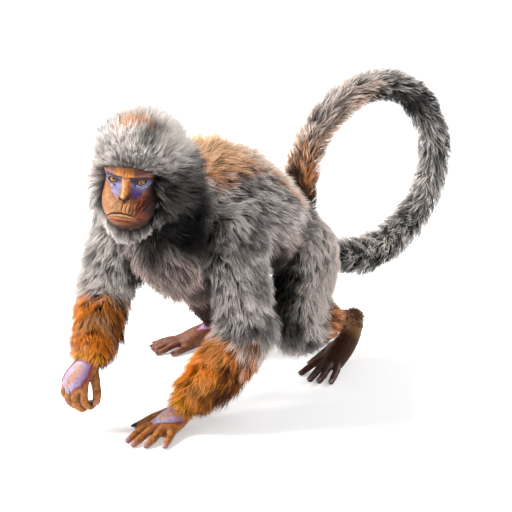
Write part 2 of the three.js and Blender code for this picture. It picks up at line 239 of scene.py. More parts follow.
# A finer row of stations through the given ones.
def finerStations(stations, steps):
    s = np.array([[*p, w, d] for p, w, d in stations], float)
    ext = np.vstack([2 * s[0] - s[1], s, 2 * s[-1] - s[-2]])
    out = []
    for i in range(len(s) - 1):
        a, b, c, d = ext[i:i + 4]
        for t in np.arange(steps) / steps:
            out.append(0.5 * (
                2 * b + (c - a) * t + (2 * a - 5 * b + 4 * c - d) * t * t + (3 * b - a - 3 * c + d) * t ** 3
            ))
    out.append(s[-1])
    return np.array(out)


def makeTube(stations, across=(1, 0, 0), steps=3):
    s = finerStations(stations, steps)
    length = np.concatenate([[0], np.cumsum(np.linalg.norm(np.diff(s[:, :3], axis=0), axis=1))])
    return {
        "line": s[:, :3], "wide": s[:, 3], "deep": s[:, 4], "across": np.array(across, float),
        "share": length / length[-1],
    }


def tailPoint(share):
    a = math.radians(tailLoop["from"] + (tailLoop["to"] - tailLoop["from"]) * share)
    lean = math.radians(tailLoop["lean"])
    swell = loopSwell["by"] * math.exp(-(((math.degrees(a) - loopSwell["at"]) / loopSwell["spread"]) ** 2))
    reach = tailLoop["middle"] + (tailLoop["reach"] + swell) * math.cos(a)
    return (
        reach * math.cos(lean) + tailLoop["side"] * math.sin(lean),
        reach * math.sin(lean) - tailLoop["side"] * math.cos(lean),
        tailLoop["height"] + (tailLoop["rise"] + swell) * math.sin(a),
    )


# Shape of the face: level sections between chin and brow, in the head's own frame in mm, with x to
# its left, y back and z up. Rows: [z, half width, how far the middle stands forward of the eyes].
faceRows = [
    (-76, 12, -8), (-73, 20, 4), (-69, 26, 14), (-63, 31, 22), (-54, 36, 28), (-46, 39, 31), (-38, 41, 31),
    (-30, 41.5, 27), (-22, 40.5, 20), (-12, 38.5, 13), (0, 37, 8), (9, 39.5, 11), (18, 40, 13),
    (26, 34.5, 8), (31, 20, -4),
]
faceShape = {"axis": 24, "behind": 22, "flat": 0.7, "levels": 176, "sides": 216, "coreInset": 2.5}
# Soft swellings: [x, z, spread in x, spread in z, rise]; a positive x is mirrored to the other side.
faceSwellings = [
    (0, -16.5, 5.5, 5, 4.4), (0, -4, 5.0, 12, 8.5), (0, 7, 8, 7, 3), (8.0, -18.2, 2.8, 3.2, 3.6),
    (0, 17, 38, 4.8, 5.6), (20, 16.6, 13, 4.2, 2.8), (20, -1, 11, 9, -5.5), (34, -2, 7, 10, 1.2),
    (30, -28, 9, 12, 2.2), (14, -32, 12, 8, 1.8), (0, -57, 17, 8, 2.2),
]
# Creases: [x, z, x, z, width, depth], each a groove from one point to the other; mirrored too.
faceCreases = [
    (9.5, -13, 7.4, 6, 1.5, 1.6), (1.2, 9, 0.5, 22, 0.9, 0.9), (23, -46, 29, -54, 1.5, 1.0),
    (0, -23, 0, -37, 0.9, 1.4),
    (4, 12, 30, 10.5, 1.3, 2.0), (26, 10.5, 37, 7.5, 1.3, 1.4), (5, 13, 4, 21, 0.8, 0.7),
]
# The same on one side only.
sideCreases = [
    (1.8, -23.0, 6.6, -16.6, 2.5, 6.2), (-1.8, -21.4, -5.8, -19.6, 1.2, 3.2),
    (-9.6, -22, -11.4, -15.0, 0.9, 1.4),
    (10.2, -23.5, 11.8, -15.5, 1.2, 2.0), (6.0, -25, 7.0, -38, 1.0, 1.2), (11, -21, 12, -37, 1.1, 1.3),
    (-14, -32, -20, -37, 1.0, 0.4),
    (15, -24, 15.5, -38, 1.0, 1.0), (23, -21, 18.5, -39.5, 1.2, 1.6), (29, -21, 20.5, -40, 1.3, 1.6),
    (35, -25, 24, -42, 1.3, 1.3),
    (38, -33, 28, -46, 1.4, 1.0),
]
muzzleFolds = {
    "count": 7, "gap": 3.4, "top": -28, "bottom": -37, "fan": 1.1, "width": 0.7, "depth": 0.32,
    "leftSide": 0.4,
}
mouth = {
    "middle": -37.4, "frown": 0.0125, "sag": 4.5, "half": 24, "gap": 1.0, "depth": 3.6, "strip": 5.2,
    "lip": 3.6,
}
# How far the lips stand out: [height over the mouth's line, spread, rise].
lipSwellings = [(3.2, 3.2, 2.0), (-7.0, 2.2, 2.6), (-2.6, 1.8, 1.0), (-12.3, 1.8, -1.6)]
eyeOpening = {
    "x": 20.5, "z": 2.5, "half": 7.8, "above": 3.3, "below": 3.5, "lid": 1.25, "tilt": 0.06, "lift": -0.5
}


def faceSection(z):
    rows = np.array(faceRows, float)
    fine = np.linspace(rows[0, 0], rows[-1, 0], 400)
    wide, out = (np.interp(fine, rows[:, 0], rows[:, k]) for k in (1, 2))
    soften = np.hanning(25) / np.hanning(25).sum()
    wide, out = (np.convolve(np.pad(v, 12, "edge"), soften, "valid") for v in (wide, out))
    return np.interp(z, fine, wide), np.interp(z, fine, out)


def faceCore():
    stations = []
    for z in range(-62, 20, 6):
        wide, out = faceSection(z)
        deep = (out + faceShape["axis"]) / 2 + 6
        middle = headToLayout((0, faceShape["coreInset"] - out + deep, z))
        stations.append((middle, wide - faceShape["coreInset"], deep - faceShape["coreInset"]))
    return makeTube(stations, across=headTurn[:, 0], steps=1)


def mouthLine(x):
    past = np.minimum(np.abs(x), 30) / mouth["half"]
    return mouth["middle"] - mouth["frown"] * x * x - mouth["sag"] * past ** 4


# 1 within the mouth's width, fading to 0 past its corners.
def withinMouth(x):
    return smooth(mouth["half"] + 3, mouth["half"] - 2, np.abs(x))


# How far outside the lids' opening a point lies, in mm, and whether it is above the opening's middle.
def lidGap(x, z):
    e = eyeOpening
    across = np.abs(x) - e["x"]
    up = z - e["z"] - e["lift"] * (x < 0) - e["tilt"] * across
    high = np.where(up > 0, e["above"], e["below"])
    reach = np.sqrt((across / e["half"]) ** 2 + (up / high) ** 2)
    near = np.sqrt(np.maximum(1 - np.clip(np.abs(across) / e["half"], 0, 1) ** 1.7, 0)) * high
    gap = np.where(np.abs(across) < e["half"], np.abs(up) - near, (reach - 1) * 5.6)
    return gap, up > 0


def creaseAt(x, z, crease):
    x0, z0, x1, z1, width, depth = crease
    dx, dz = x1 - x0, z1 - z0
    t = np.clip(((x - x0) * dx + (z - z0) * dz) / (dx * dx + dz * dz), 0, 1)
    off = ((x - x0 - t * dx) ** 2 + (z - z0 - t * dz) ** 2) / width ** 2
    return -depth * np.exp(-off) * (0.5 + 0.5 * np.sin(math.pi * np.clip(t, 0.08, 0.92)))


def foldCreases():
    m = muzzleFolds
    folds = []
    for side in (-1, 1):
        for k in range(m["count"]):
            x = side * (3.4 + m["gap"] * k)
            top = m["top"] - 0.5 * k + (2 if k % 2 else 0)
            deep = m["depth"] * (1.0 if k % 2 else 0.7) * (m["leftSide"] if side > 0 else 1)
            folds.append(
                (x, top, x + side * m["fan"] * (0.4 + 0.5 * k), mouthLine(x) + 1.5, m["width"], deep)
            )
    return folds


# Steps from low to high that crowd round the given places: [place, spread, how much denser].
def crowdedSteps(low, high, count, places):
    fine = np.linspace(low, high, 2000)
    dense = 1 + sum(more * bell(fine, place, spread) for place, spread, more in places)
    run = np.concatenate([[0], np.cumsum((dense[1:] + dense[:-1]) / 2)])
    return np.interp(np.linspace(0, run[-1], count), run, fine)


# Depth of the fine creases, folds, lips and lids at a place on the face, in mm.
def faceDetail(x, z):
    fine = np.zeros_like(x)
    for crease in faceCreases:
        for side in ((1,) if crease[0] == 0 else (1, -1)):
            fine += creaseAt(x * side, z, crease)
    bent = x + 0.9 * np.sin(0.42 * z + 0.35 * x) * smooth(-22, -26, z)
    for crease in foldCreases() + sideCreases:
        fine += creaseAt(bent, z, crease)
    fine -= withinMouth(x) * mouth["depth"] * bell(z - mouthLine(x), 0, mouth["gap"])
    gap, above = lidGap(x, z)
    fine += 0.45 * bell(gap, 0.8, 0.7)
    upper = 1.0 * bell(gap, 3.6, 0.8)
    lower = 0.8 * bell(gap, 2.9, 0.7) + 0.7 * bell(gap, 6.2, 0.8)
    return fine - np.where(above, upper, lower)


# Triangles of a closed round shape: one pole, rows of points, the other pole.
def roundFaces(levels, sides):
    j = np.arange(sides)
    k = (j + 1) % sides
    faces = [np.stack([np.zeros(sides, int), 1 + k, 1 + j], 1)]
    for i in range(levels - 1):
        a, b = 1 + i * sides + j, 1 + i * sides + k
        faces += [np.stack([a, b, b + sides], 1), np.stack([a, b + sides, a + sides], 1)]
    last = 1 + (levels - 1) * sides
    faces.append(np.stack([last + j, last + k, np.full(sides, levels * sides + 1)], 1))
    return np.vstack(faces)


# The faces of a closed mesh, turned to point outwards.
def turnedOut(points, faces):
    a, b, c = (points[faces[:, k]] for k in range(3))
    volume = np.einsum("ij,ij->i", a, np.cross(b, c)).sum()
    return faces[:, ::-1] if volume < 0 else faces


# How far the soft swellings and the lips raise the face, in mm.
def faceRise(x, z):
    rise = np.zeros_like(x)
    for cx, cz, sx, sz, up in faceSwellings:
        for side in ((1,) if cx == 0 else (1, -1)):
            rise += up * np.exp(-((x - side * cx) / sx) ** 2 - ((z - cz) / sz) ** 2)
    lipZ = z - mouthLine(x)
    for place, spread, up in lipSwellings:
        rise += withinMouth(x) * up * bell(lipZ, place, spread)
    return rise


# Lids wrap the eyeball: the face's y, brought forward to the lid's ball where that stands further out.
def overLids(y, off):
    ball = eyeSize["radius"] + eyeOpening["lid"]
    lid = eyeSize["back"] - np.sqrt(np.maximum(ball * ball - off, 0))
    lid = np.where(off < ball * ball, lid, 99)
    close = np.maximum(2.5 - np.abs(y - lid), 0) / 2.5
    return np.where(lid < 90, np.minimum(y, lid) - close * close * 2.5 / 4, y)


def faceMesh():
    f = faceShape
    levels, sides = f["levels"], f["sides"]
    z = crowdedSteps(faceRows[0][0], faceRows[-1][0], levels + 2, [(2, 8, 1.5), (-40, 7, 0.7)])[1:-1]
    half = crowdedSteps(0, math.pi, sides // 2 + 1, [(0.62, 0.28, 1.6), (0.1, 0.9, 1.2)])
    angle = np.concatenate([-half[::-1], half[1:-1]])
    wide, out = faceSection(z)
    zz, aa = np.meshgrid(z, angle, indexing="ij")
    x = wide[:, None] * np.sin(aa)
    front = np.maximum(np.cos(aa), 0) ** f["flat"] * (out[:, None] + f["axis"] + faceRise(x, zz))
    y = f["axis"] - np.where(np.cos(aa) > 0, front, f["behind"] * np.cos(aa))
    facing = np.cos(aa) > 0.1
    off = (np.abs(x) - eyeSize["apart"] / 2) ** 2 + zz ** 2
    y = np.where(facing, overLids(y, off), y)
    points = np.stack([x, y, zz], -1)
    run = np.roll(points, -1, 1) - np.roll(points, 1, 1)
    climb = np.gradient(points, axis=0)
    outward = unit(np.cross(run, climb))
    fine = faceDetail(x, zz) * facing
    points = points + outward * fine[:, :, None]
    # Inside the lids' opening the skin falls behind the eyeball.
    sink = smooth(0.3, -0.7, lidGap(x, zz)[0]) * facing
    floorY = eyeSize["back"] - np.sqrt(np.maximum(eyeSize["radius"] ** 2 - off, 4)) + 3.0
    points[:, :, 1] = points[:, :, 1] * (1 - sink) + np.maximum(floorY, points[:, :, 1]) * sink
    bottom = points[0].mean(0) - (0, 0, 0.8)
    top = points[-1].mean(0) + (0, 0, 0.4)
    everyPoint = np.vstack([[bottom], points.reshape(-1, 3), [top]])
    return headToLayout(everyPoint), roundFaces(levels, sides)


def bodyTubes():
    coat = trunkRows["coat"]
    tubes = {"trunk": makeTube([((x, y, z), w - coat, h - coat) for y, z, w, h, x in trunkRows["rows"]])}
    tubes["neck"] = makeTube(
        [((-8, -120, 332), 50, 50), ((-2, -160, 362), 48, 50), ((4, -200, 386), 44, 46)]
    )
    for name, rows in limbRows.items():
        kind, side = name[:-2], name[-1]
        a, b = (np.array(joints[f"{end}_{side}"], float) for end in limbEnds[kind])
        tubes[name] = makeTube(
            [(a + (b - a) * t + (0, 0, lift), w - c, d - c) for t, w, d, lift, c in rows]
        )
    shares = np.linspace(-0.035, 1, 21)
    girth = np.interp(shares, [r[0] for r in tailRows], [r[1] - r[2] for r in tailRows])
    tubes["tail"] = makeTube([(tailPoint(t), g, g) for t, g in zip(shares, girth)], steps=1)
    skull = headToLayout([(2, 38, 16), (3, 62, 16)])
    tubes["skull"] = makeTube([(skull[0], 42, 46), (skull[1], 44, 50)], across=headTurn[:, 0], steps=1)
    jaw = headToLayout([(0, 20, -36), (2, 62, -34)])
    tubes["jaw"] = makeTube([(jaw[0], 36, 30), (jaw[1], 42, 36)], across=headTurn[:, 0], steps=1)
    tubes["core"] = faceCore()
    return tubes


# For each point: distance to the tube's surface, share of its length, its direction, and where
# round it the point lies, as (sideways, deep) in half sizes.
def nearTube(tube, points):
    best = np.full(len(points), 1e9)
    share, along = np.zeros(len(points)), np.zeros((len(points), 3))
    around = np.zeros((len(points), 2))
    line, count = tube["line"], len(tube["line"]) - 1
    for i in range(count):
        axis = line[i + 1] - line[i]
        length = np.linalg.norm(axis)
        way = axis / length
        wide = tube["across"] - way * (tube["across"] @ way)
        wide /= np.linalg.norm(wide)
        deep = np.cross(way, wide)
        off = points - line[i]
        t = np.clip(off @ way / length, 0, 1)
        w = tube["wide"][i] + (tube["wide"][i + 1] - tube["wide"][i]) * t
        d = tube["deep"][i] + (tube["deep"][i + 1] - tube["deep"][i]) * t
        off = off - t[:, None] * axis
        u, v, past = off @ wide / w, off @ deep / d, off @ way / np.minimum(w, d)
        rho = np.sqrt(u * u + v * v + past * past)
        gap = (rho - 1) * np.where(
            rho > 0.05, np.linalg.norm(off, axis=1) / np.maximum(rho, 1e-6), np.minimum(w, d)
        )
        closer = gap < best
        best = np.where(closer, gap, best)
        share = np.where(closer, tube["share"][i] + (tube["share"][i + 1] - tube["share"][i]) * t, share)
        along[closer] = way
        around[closer] = np.stack([u, v], 1)[closer]
    return best, share, along, around


# Signed gap to the skin on a regular grid: negative inside, blended where tubes meet.
def tubeField(tubes, voxel, blend, reach, floor=None):
    fat = max(max(t["wide"].max(), t["deep"].max()) for t in tubes.values())
    lines = np.vstack([t["line"] for t in tubes.values()])
    low = lines.min(0) - fat - reach
    size = np.ceil((lines.max(0) + fat + reach - low) / voxel).astype(int) + 1
    gaps = np.full(size, reach, float)
    for tube in tubes.values():
        near = max(tube["wide"].max(), tube["deep"].max()) + reach
        a = np.maximum(np.floor((tube["line"].min(0) - near - low) / voxel).astype(int), 0)
        b = np.minimum(np.ceil((tube["line"].max(0) + near - low) / voxel).astype(int) + 1, size)
        grid = np.stack(np.meshgrid(*[np.arange(a[k], b[k]) for k in range(3)], indexing="ij"), -1)
        gap = nearTube(tube, grid.reshape(-1, 3) * voxel + low)[0].reshape(grid.shape[:3])
        part = gaps[a[0]:b[0], a[1]:b[1], a[2]:b[2]]
        close = np.maximum(blend - np.abs(part - gap), 0) / blend
        part[...] = np.minimum(part, gap) - close * close * blend / 4
    if floor is not None:
        level = floor - (low[2] + voxel * np.arange(size[2]))
        gaps = np.maximum(gaps, level[None, None, :])
    return {"low": low, "voxel": voxel, "gaps": np.clip(gaps, -reach, reach)}


# The closed mesh where the gap is nothing.
def fieldMesh(field):
    voxel, low = field["voxel"], field["low"]
    grid = vdb.FloatGrid(float(field["gaps"].max()))
    grid.copyFromArray(field["gaps"].astype(np.float32))
    points, triangles, quads = grid.convertToPolygons(isovalue=0.0, adaptivity=0.0)
    faces = np.vstack([triangles.reshape(-1, 3), quads[:, [0, 1, 2]], quads[:, [0, 2, 3]]])
    points = points.astype(float) * voxel + low
    return points, turnedOut(points, faces.astype(np.int64))


# Gap and outward direction at any points.
def fieldAt(field, points):
    gaps = field["gaps"]
    cell = np.clip((points - field["low"]) / field["voxel"], 0, np.array(gaps.shape) - 1.001)
    base = np.floor(cell).astype(int)
    part = cell - base
    value, slope = np.zeros(len(points)), np.zeros((len(points), 3))
    for corner in np.ndindex(2, 2, 2):
        c = np.array(corner)
        g = gaps[tuple((base + c).T)]
        w = np.where(c == 1, part, 1 - part)
        value += g * w.prod(1)
        for k in range(3):
            others = np.delete(w, k, axis=1).prod(1)
            slope[:, k] += g * others * (1 if c[k] else -1)
    return value, unit(slope)


def meshObject(name, points, faces):
    mesh = bpy.data.meshes.new(name)
    mesh.vertices.add(len(points))
    mesh.vertices.foreach_set("co", np.ascontiguousarray(points, np.float32).ravel())
    sides = faces.shape[1]
    mesh.loops.add(faces.size)
    mesh.loops.foreach_set("vertex_index", np.ascontiguousarray(faces, np.int32).ravel())
    mesh.polygons.add(len(faces))
    mesh.polygons.foreach_set("loop_start", np.arange(0, faces.size, sides, dtype=np.int32))
    mesh.polygons.foreach_set("use_smooth", np.ones(len(faces), bool))
    mesh.update(calc_edges=True)
    piece = bpy.data.objects.new(name, mesh)
    bpy.context.scene.collection.objects.link(piece)
    return piece


def setColours(piece, name, colours):
    layer = piece.data.attributes.new(name, "FLOAT_COLOR", "POINT")
    rgba = np.ones((len(colours), 4), np.float32)
    rgba[:, :3] = colours
    layer.data.foreach_set("color", rgba.ravel())


# Shape of hands and feet. Palm rows are [point, half width, half depth]; each digit is
# [points, half width at the knuckle].
extremities = {
    "hand_l": {
        "across": (0.93, 0.37, 0), "wrist": "forearm_l",
        "palm": [
            ((56, -203, 37), 18, 13), ((50, -216, 24), 20, 14), ((45, -232, 16), 22, 15),
            ((42, -246, 12), 21, 12),
        ],
        "digits": [
            ([(30, -216, 24), (12, -230, 15), (-4, -249, 4.5)], 8),
            ([(29, -242, 15), (21, -262, 13), (18, -280, 8), (17, -296, 4)], 7),
            ([(38, -246, 16), (36, -268, 14), (33, -286, 8), (32, -302, 4)], 7.4),
            ([(48, -243, 15), (50, -262, 13), (51, -279, 8), (50, -294, 4)], 7.2),
            ([(57, -236, 13), (65, -250, 11), (70, -265, 7), (74, -279, 4)], 6.6),
        ],
    },
    "hand_r": {
        "across": (0.93, 0.2, 0.2), "wrist": "forearm_r",
        "palm": [
            ((-70, -276, 112), 18, 12), ((-73, -288, 100), 20, 13), ((-77, -300, 86), 23, 13),
            ((-79, -307, 76), 23, 11),
        ],
        "digits": [
            ([(-61, -281, 98), (-54, -285, 80), (-49, -288, 62), (-50, -289, 48)], 8.5),
            ([(-62, -303, 74), (-59, -306, 53), (-57, -296, 41), (-58, -282, 43)], 7.2),
            ([(-73, -309, 71), (-71, -312, 49), (-69, -301, 36), (-68, -286, 38)], 7.4),
            ([(-85, -309, 71), (-85, -312, 51), (-83, -301, 38), (-80, -287, 40)], 7.2),
            ([(-96, -304, 75), (-98, -307, 57), (-96, -297, 45), (-92, -285, 46)], 6.8),
        ],
    },
    "foot_l": {
        "across": (0.95, 0.12, 0.1), "wrist": "shin_l",
        "palm": [
            ((119, 174, 61), 15, 16), ((121, 160, 46), 18, 16), ((118, 138, 28), 22, 14),
            ((115, 118, 15), 23, 12),
        ],
        "digits": [
            ([(99, 146, 30), (87, 130, 16), (77, 114, 4.5)], 7.8),
            ([(101, 120, 17), (95, 98, 14), (90, 82, 8), (87, 68, 4)], 6.9),
            ([(110, 115, 17), (111, 90, 14), (112, 72, 8), (113, 55, 4)], 7.3),
            ([(120, 112, 16), (124, 90, 13), (127, 74, 8), (129, 58, 4)], 7.1),
            ([(129, 114, 14), (138, 96, 11), (143, 80, 7), (147, 66, 4)], 6.6),
        ],
    },
    "foot_r": {
        "across": (0.8, -0.55, 0), "wrist": "shin_r",
        "palm": [
            ((-104, 108, 18), 15, 19), ((-114, 90, 21), 18, 21), ((-130, 66, 17), 21, 17),
            ((-142, 48, 12), 22, 12),
        ],
        "digits": [
            ([(-120, 66, 13), (-124, 44, 9), (-130, 26, 6), (-134, 9, 4)], 7.4),
            ([(-132, 50, 15), (-145, 28, 12), (-152, 12, 7), (-158, -3, 3.5)], 6.4),
            ([(-142, 46, 15), (-157, 29, 12), (-166, 17, 7), (-174, 7, 3.5)], 6.6),
            ([(-150, 50, 14), (-166, 35, 11), (-176, 24, 7), (-184, 15, 3.5)], 6.4),
            ([(-156, 56, 13), (-172, 45, 10), (-182, 36, 7), (-190, 29, 3.5)], 5.8),
        ],
    },
}
digitShape = {"taper": 0.22, "flat": 0.92, "knuckle": 0.07}


def digitTube(points, thick):
    last = len(points) - 1
    tube = makeTube(
        [(p, thick * (1 - digitShape["taper"] * i / last), 1) for i, p in enumerate(points)], steps=6
    )
    joint = np.linspace(0, last, len(tube["wide"]))
    tube["wide"] *= 1 - digitShape["knuckle"] * np.sin(math.pi * joint) ** 2
    tube["wide"] *= 1 - 0.1 * (joint > last - 0.1)
    tube["deep"] = tube["wide"] * digitShape["flat"]
    return tube


def extremityTubes(name):
    e = extremities[name]
    arm = tubes[e["wrist"]]
    start = e["palm"][0]
    parts = {"palm": makeTube(e["palm"], across=e["across"], steps=4)}
    link = [(arm["line"][-6], 14, 12), (start[0], start[1] - 1, start[2] - 1)]
    parts["wrist"] = makeTube(link, across=e["across"], steps=1)
    for n, one in enumerate(e["digits"]):
        parts[f"digit{n + 1}"] = digitTube(*one)
    return parts


# Spacing of the field's grid, how far tubes blend and how far off it still measures, in mm.
bodyGrid = {"voxel": 6.0, "blend": 16.0, "reach": 80.0}
endGrid = {"voxel": 1.5, "blend": 4.5, "reach": 6.0}
tubes = bodyTubes()
bodyField = tubeField(tubes, **bodyGrid)
bodyPoints, bodyFaces = fieldMesh(bodyField)
print("stage: body skin", len(bodyFaces))


# Markings: skin and coat take their colours from the same functions. Paints are given as 0 to 255 and
# used as linear light.
def paint(r, g, b):
    c = np.array((r, g, b)) / 255
    return np.where(c < 0.04045, c / 12.92, ((c + 0.055) / 1.055) ** 2.4)


def mixTo(colours, other, amount):
    amount = np.clip(amount, 0, 1)[:, None]
    return colours * (1 - amount) + np.asarray(other) * amount


# Lays a tone over the colours, as strongly as the amount at each point says.
def lay(colours, tone, amount):
    colours[:] = mixTo(colours, tone, amount)


# Smooth pseudo-random drift, about -1 to 1, with features of the given size.
def drift(points, size, seed):
    rng = np.random.default_rng(seed)
    total = np.zeros(len(points))
    for _ in range(7):
        way = rng.normal(size=3)
        way *= (0.6 + 0.8 * rng.random()) / np.linalg.norm(way)
        total += np.sin(points @ way * (2 * math.pi / size) + rng.random() * 2 * math.pi)
    return np.clip(total / 2.6, -1.3, 1.3)


coatPaint = {
    "grey": paint(236, 227, 222), "pale": paint(255, 248, 243), "dark": paint(112, 101, 99),
    "belly": paint(206, 186, 180), "black": paint(26, 21, 20), "brown": paint(110, 66, 42),
    "tan": paint(255, 220, 182), "sand": paint(255, 240, 228), "orange": paint(248, 172, 102),
    "rust": paint(176, 88, 42), "gold": paint(255, 164, 56), "yellow": paint(255, 186, 54),
    "crown": paint(214, 168, 134), "tail_tan": paint(252, 224, 206),
}
# Deep folds where little light reaches the coat: [place in the layout, reach, how dark].
darkFolds = [
    ((62, -186, 302), 44, 0.97), ((66, -186, 334), 40, 0.97), ((74, -178, 366), 30, 0.9),
    ((72, -166, 394), 22, 0.7), ((76, -164, 272), 26, 0.7), ((20, -226, 270), 22, 0.5),
    ((78, 4, 165), 62, 0.97), ((84, 0, 212), 36, 0.85), ((102, 4, 104), 46, 0.85),
    ((-83, 40, 80), 60, 0.85), ((134, -110, 252), 30, 0.5),
]
# Dark patches on the tail: [share, half length, which side: 1 inner, -1 outer].
tailPatches = [
    (0.32, 0.07, 1), (0.4, 0.055, 0.5), (0.47, 0.062, -0.3), (0.572, 0.036, -0.4), (0.69, 0.024, -0.9),
    (0.85, 0.026, -0.9), (0.925, 0.014, -0.7), (0.975, 0.022, -0.8),
]
# Orange patch on the crown: [x, y, z] in the head's frame and its spread.
crownPatch = {"middle": (3, 33, 84), "spread": (40, 14, 18)}
# Pale saddle along the spine: its half width in degrees round the trunk, by share of the trunk.
saddle = {"middle": 16, "share": [0, .13, .2, .3, .42, .5, .7, 1], "half": [62, 61, 60, 57, 60, 66, 66, 40]}


# Belly, saddle and nape, with painted shade under the belly from the chest back.
def trunkMarkings(colours, spots):
    c = coatPaint
    tube, share, around, down, wobble, fine = take(spots, "tube share around down wobble fine")
    trunk = tube == "trunk"
    turn = np.degrees(np.arctan2(np.abs(around[:, 0]), -around[:, 1]))
    lay(colours, c["belly"], 0.9 * smooth(80, 110, turn + 14 * wobble) * trunk)
    # Painted shade: the underside from the chest back turns near-black brown.
    lay(
        colours, c["brown"] * 0.35,
        0.92 * smooth(96, 124, turn + 10 * fine) * smooth(0.18, 0.34, share) * trunk,
    )
    spine = np.abs(np.degrees(np.arctan2(around[:, 0], -around[:, 1])) + saddle["middle"])
    edge = np.interp(share, saddle["share"], saddle["half"]) + 4 * fine + 4 * wobble
    onBack = (trunk & (turn < 100)) * smooth(0.0, 0.3, -down) * smooth(0.64, 0.56, share)
    lay(
        colours, c["rust"],
        smooth(edge + 5, edge - 3, spine) * onBack * np.interp(share, [0.15, 0.3], [0.95, 0.5]),
    )
    lay(colours, c["orange"] * 1.3, smooth(edge + 1, edge - 7, spine) * onBack)
    saddleTone = mixTo(
        np.tile(c["tan"] * 2.2, (len(fine), 1)), c["sand"] * 2.4, smooth(0.18, 0.32, share)
    )
    lay(colours, saddleTone, smooth(edge - 1, edge - 10, spine) * onBack * 0.95)
    nape = (tube == "neck") * smooth(0.2, 0.7, -down) * smooth(0.9, 0.5, share)
    lay(colours, c["orange"] * 1.2, nape)
    lay(colours, c["tan"] * 2.2, nape * smooth(0.4, 0.9, -down) * 0.9)


# Crown, cheeks and the hood: painted light over its top, on the ruff's right side and high on its left
# side, and painted shade on its lower left side beside the face.
def hoodMarkings(colours, spots):
    c = coatPaint
    tube, wobble, fine = take(spots, "tube wobble fine")
    local = layoutToHead(spots["points"])
    hood = (tube == "skull") | (tube == "jaw")
    patch = np.linalg.norm((local - crownPatch["middle"]) / crownPatch["spread"], axis=1)
    # Painted light: paler over the top of the hood and on the ruff's right side.
    lay(colours, c["pale"] * 0.92, hood * smooth(0, 50, local[:, 2] + 8 * wobble) * 0.85)
    lay(colours, c["pale"] * 1.5, (tube == "jaw") * smooth(0, -50, local[:, 0]) * 0.8)
    lay(colours, c["crown"] * 1.15, hood * smooth(1.15, 0.6, patch + 0.2 * fine) * 0.95)
    # Painted shade: the hood's lower left side beside the face goes black, darkest at its rim and low down,
    # with a few grey tufts left in it.
    shaded = smooth(30, 50, local[:, 0] - 0.15 * np.clip(local[:, 2], -60, 0)) * smooth(34, 6, local[:, 2])
    rim = shaded * smooth(84, 60, local[:, 0] + 8 * fine) * smooth(34, 8, local[:, 1])
    tuftShade = drift(spots["points"], 9, 5) + 0.4 * fine
    lay(colours, c["black"] * 1.5, hood * shaded * smooth(-0.15, 0.35, tuftShade) * 0.94)
    lay(colours, c["black"], hood * rim * smooth(-1.2, -0.4, tuftShade) * 0.9)
    low = smooth(60, 90, local[:, 0] - 0.5 * local[:, 2] - 0.25 * local[:, 1])
    lay(colours, c["black"], hood * shaded * low * 0.8)
    lay(colours, c["grey"] * 0.8, hood * shaded * (1 - low) * smooth(0.5, 0.85, tuftShade) * 0.85)
    # Painted light high on the hood's left side.
    lay(colours, c["pale"] * 1.7, hood * smooth(30, 58, local[:, 0]) * smooth(30, 54, local[:, 2]) * 0.85)


# Arms and legs, with painted light on the right upper arm and the rump, and painted shade on the forearms'
# far and lower sides.
def limbMarkings(colours, spots):
    c = coatPaint
    tube, share, outward, down, wobble, fine = take(spots, "tube share outward down wobble fine")
    # Painted light: the right upper arm is paler.
    lay(colours, c["pale"], (tube == "upper_arm_r") * 0.55)
    # Painted light on the rump, where it faces back and to the left.
    litRump = (tube == "thigh_l") * smooth(
        0.2, 0.9, outward @ unit(np.array((0.8, 0.7, 0.3))) + 0.2 * fine
    )
    lay(colours, c["pale"] * (3.0, 2.92, 2.88), litRump * 0.92)
    for side, start in (("l", 0.06), ("r", 0.02)):
        low = (tube == "forearm_" + side) * smooth(
            start - 0.06, start + 0.1, share + 0.08 * wobble + 0.05 * fine
        )
        lay(colours, c["gold"] * (1.6 if side == "r" else 1.35), low)
        lay(
            colours, c["tan"] * 1.8,
            low * smooth(-0.1, 0.8, wobble + 0.5 * fine) * (0.6 if side == "r" else 0.15),
        )
        # Painted shade on the side of each forearm that faces left and back.
        away = outward @ unit(np.array((0.8, 0.6, -0.2))) + 0.45 * fine
        lay(colours, c["rust"] * 0.7, low * smooth(-0.1, 0.8, away) * 0.9)
        lay(colours, c["yellow"] * 1.5, low * smooth(0.78, 0.9, share) * smooth(0.2, -0.5, down) * 0.8)
        # Painted shade underneath the forearm.
        lay(colours, c["rust"] * 0.3, low * smooth(-0.2, 0.6, down + 0.25 * fine) * 0.92)
        low = (tube == "shin_" + side) * smooth(0.0, 0.3, share + 0.08 * wobble)
        lay(colours, c["orange"], low * 0.85)
        lay(colours, c["rust"], low * smooth(-0.2, 0.8, fine + 0.5 * wobble))
        lay(colours, c["brown"] * 0.6, low * smooth(0.0, 0.8, down + 0.4 * share) * 0.85)
    low = (tube == "thigh_r") | (tube == "shin_r")
    lay(
        colours,
        c["rust"] * mixTo(np.full((len(fine), 1), 0.9), 0.12, smooth(-0.5, 0.4, fine + 0.5 * wobble)),
        low * 0.95,
    )


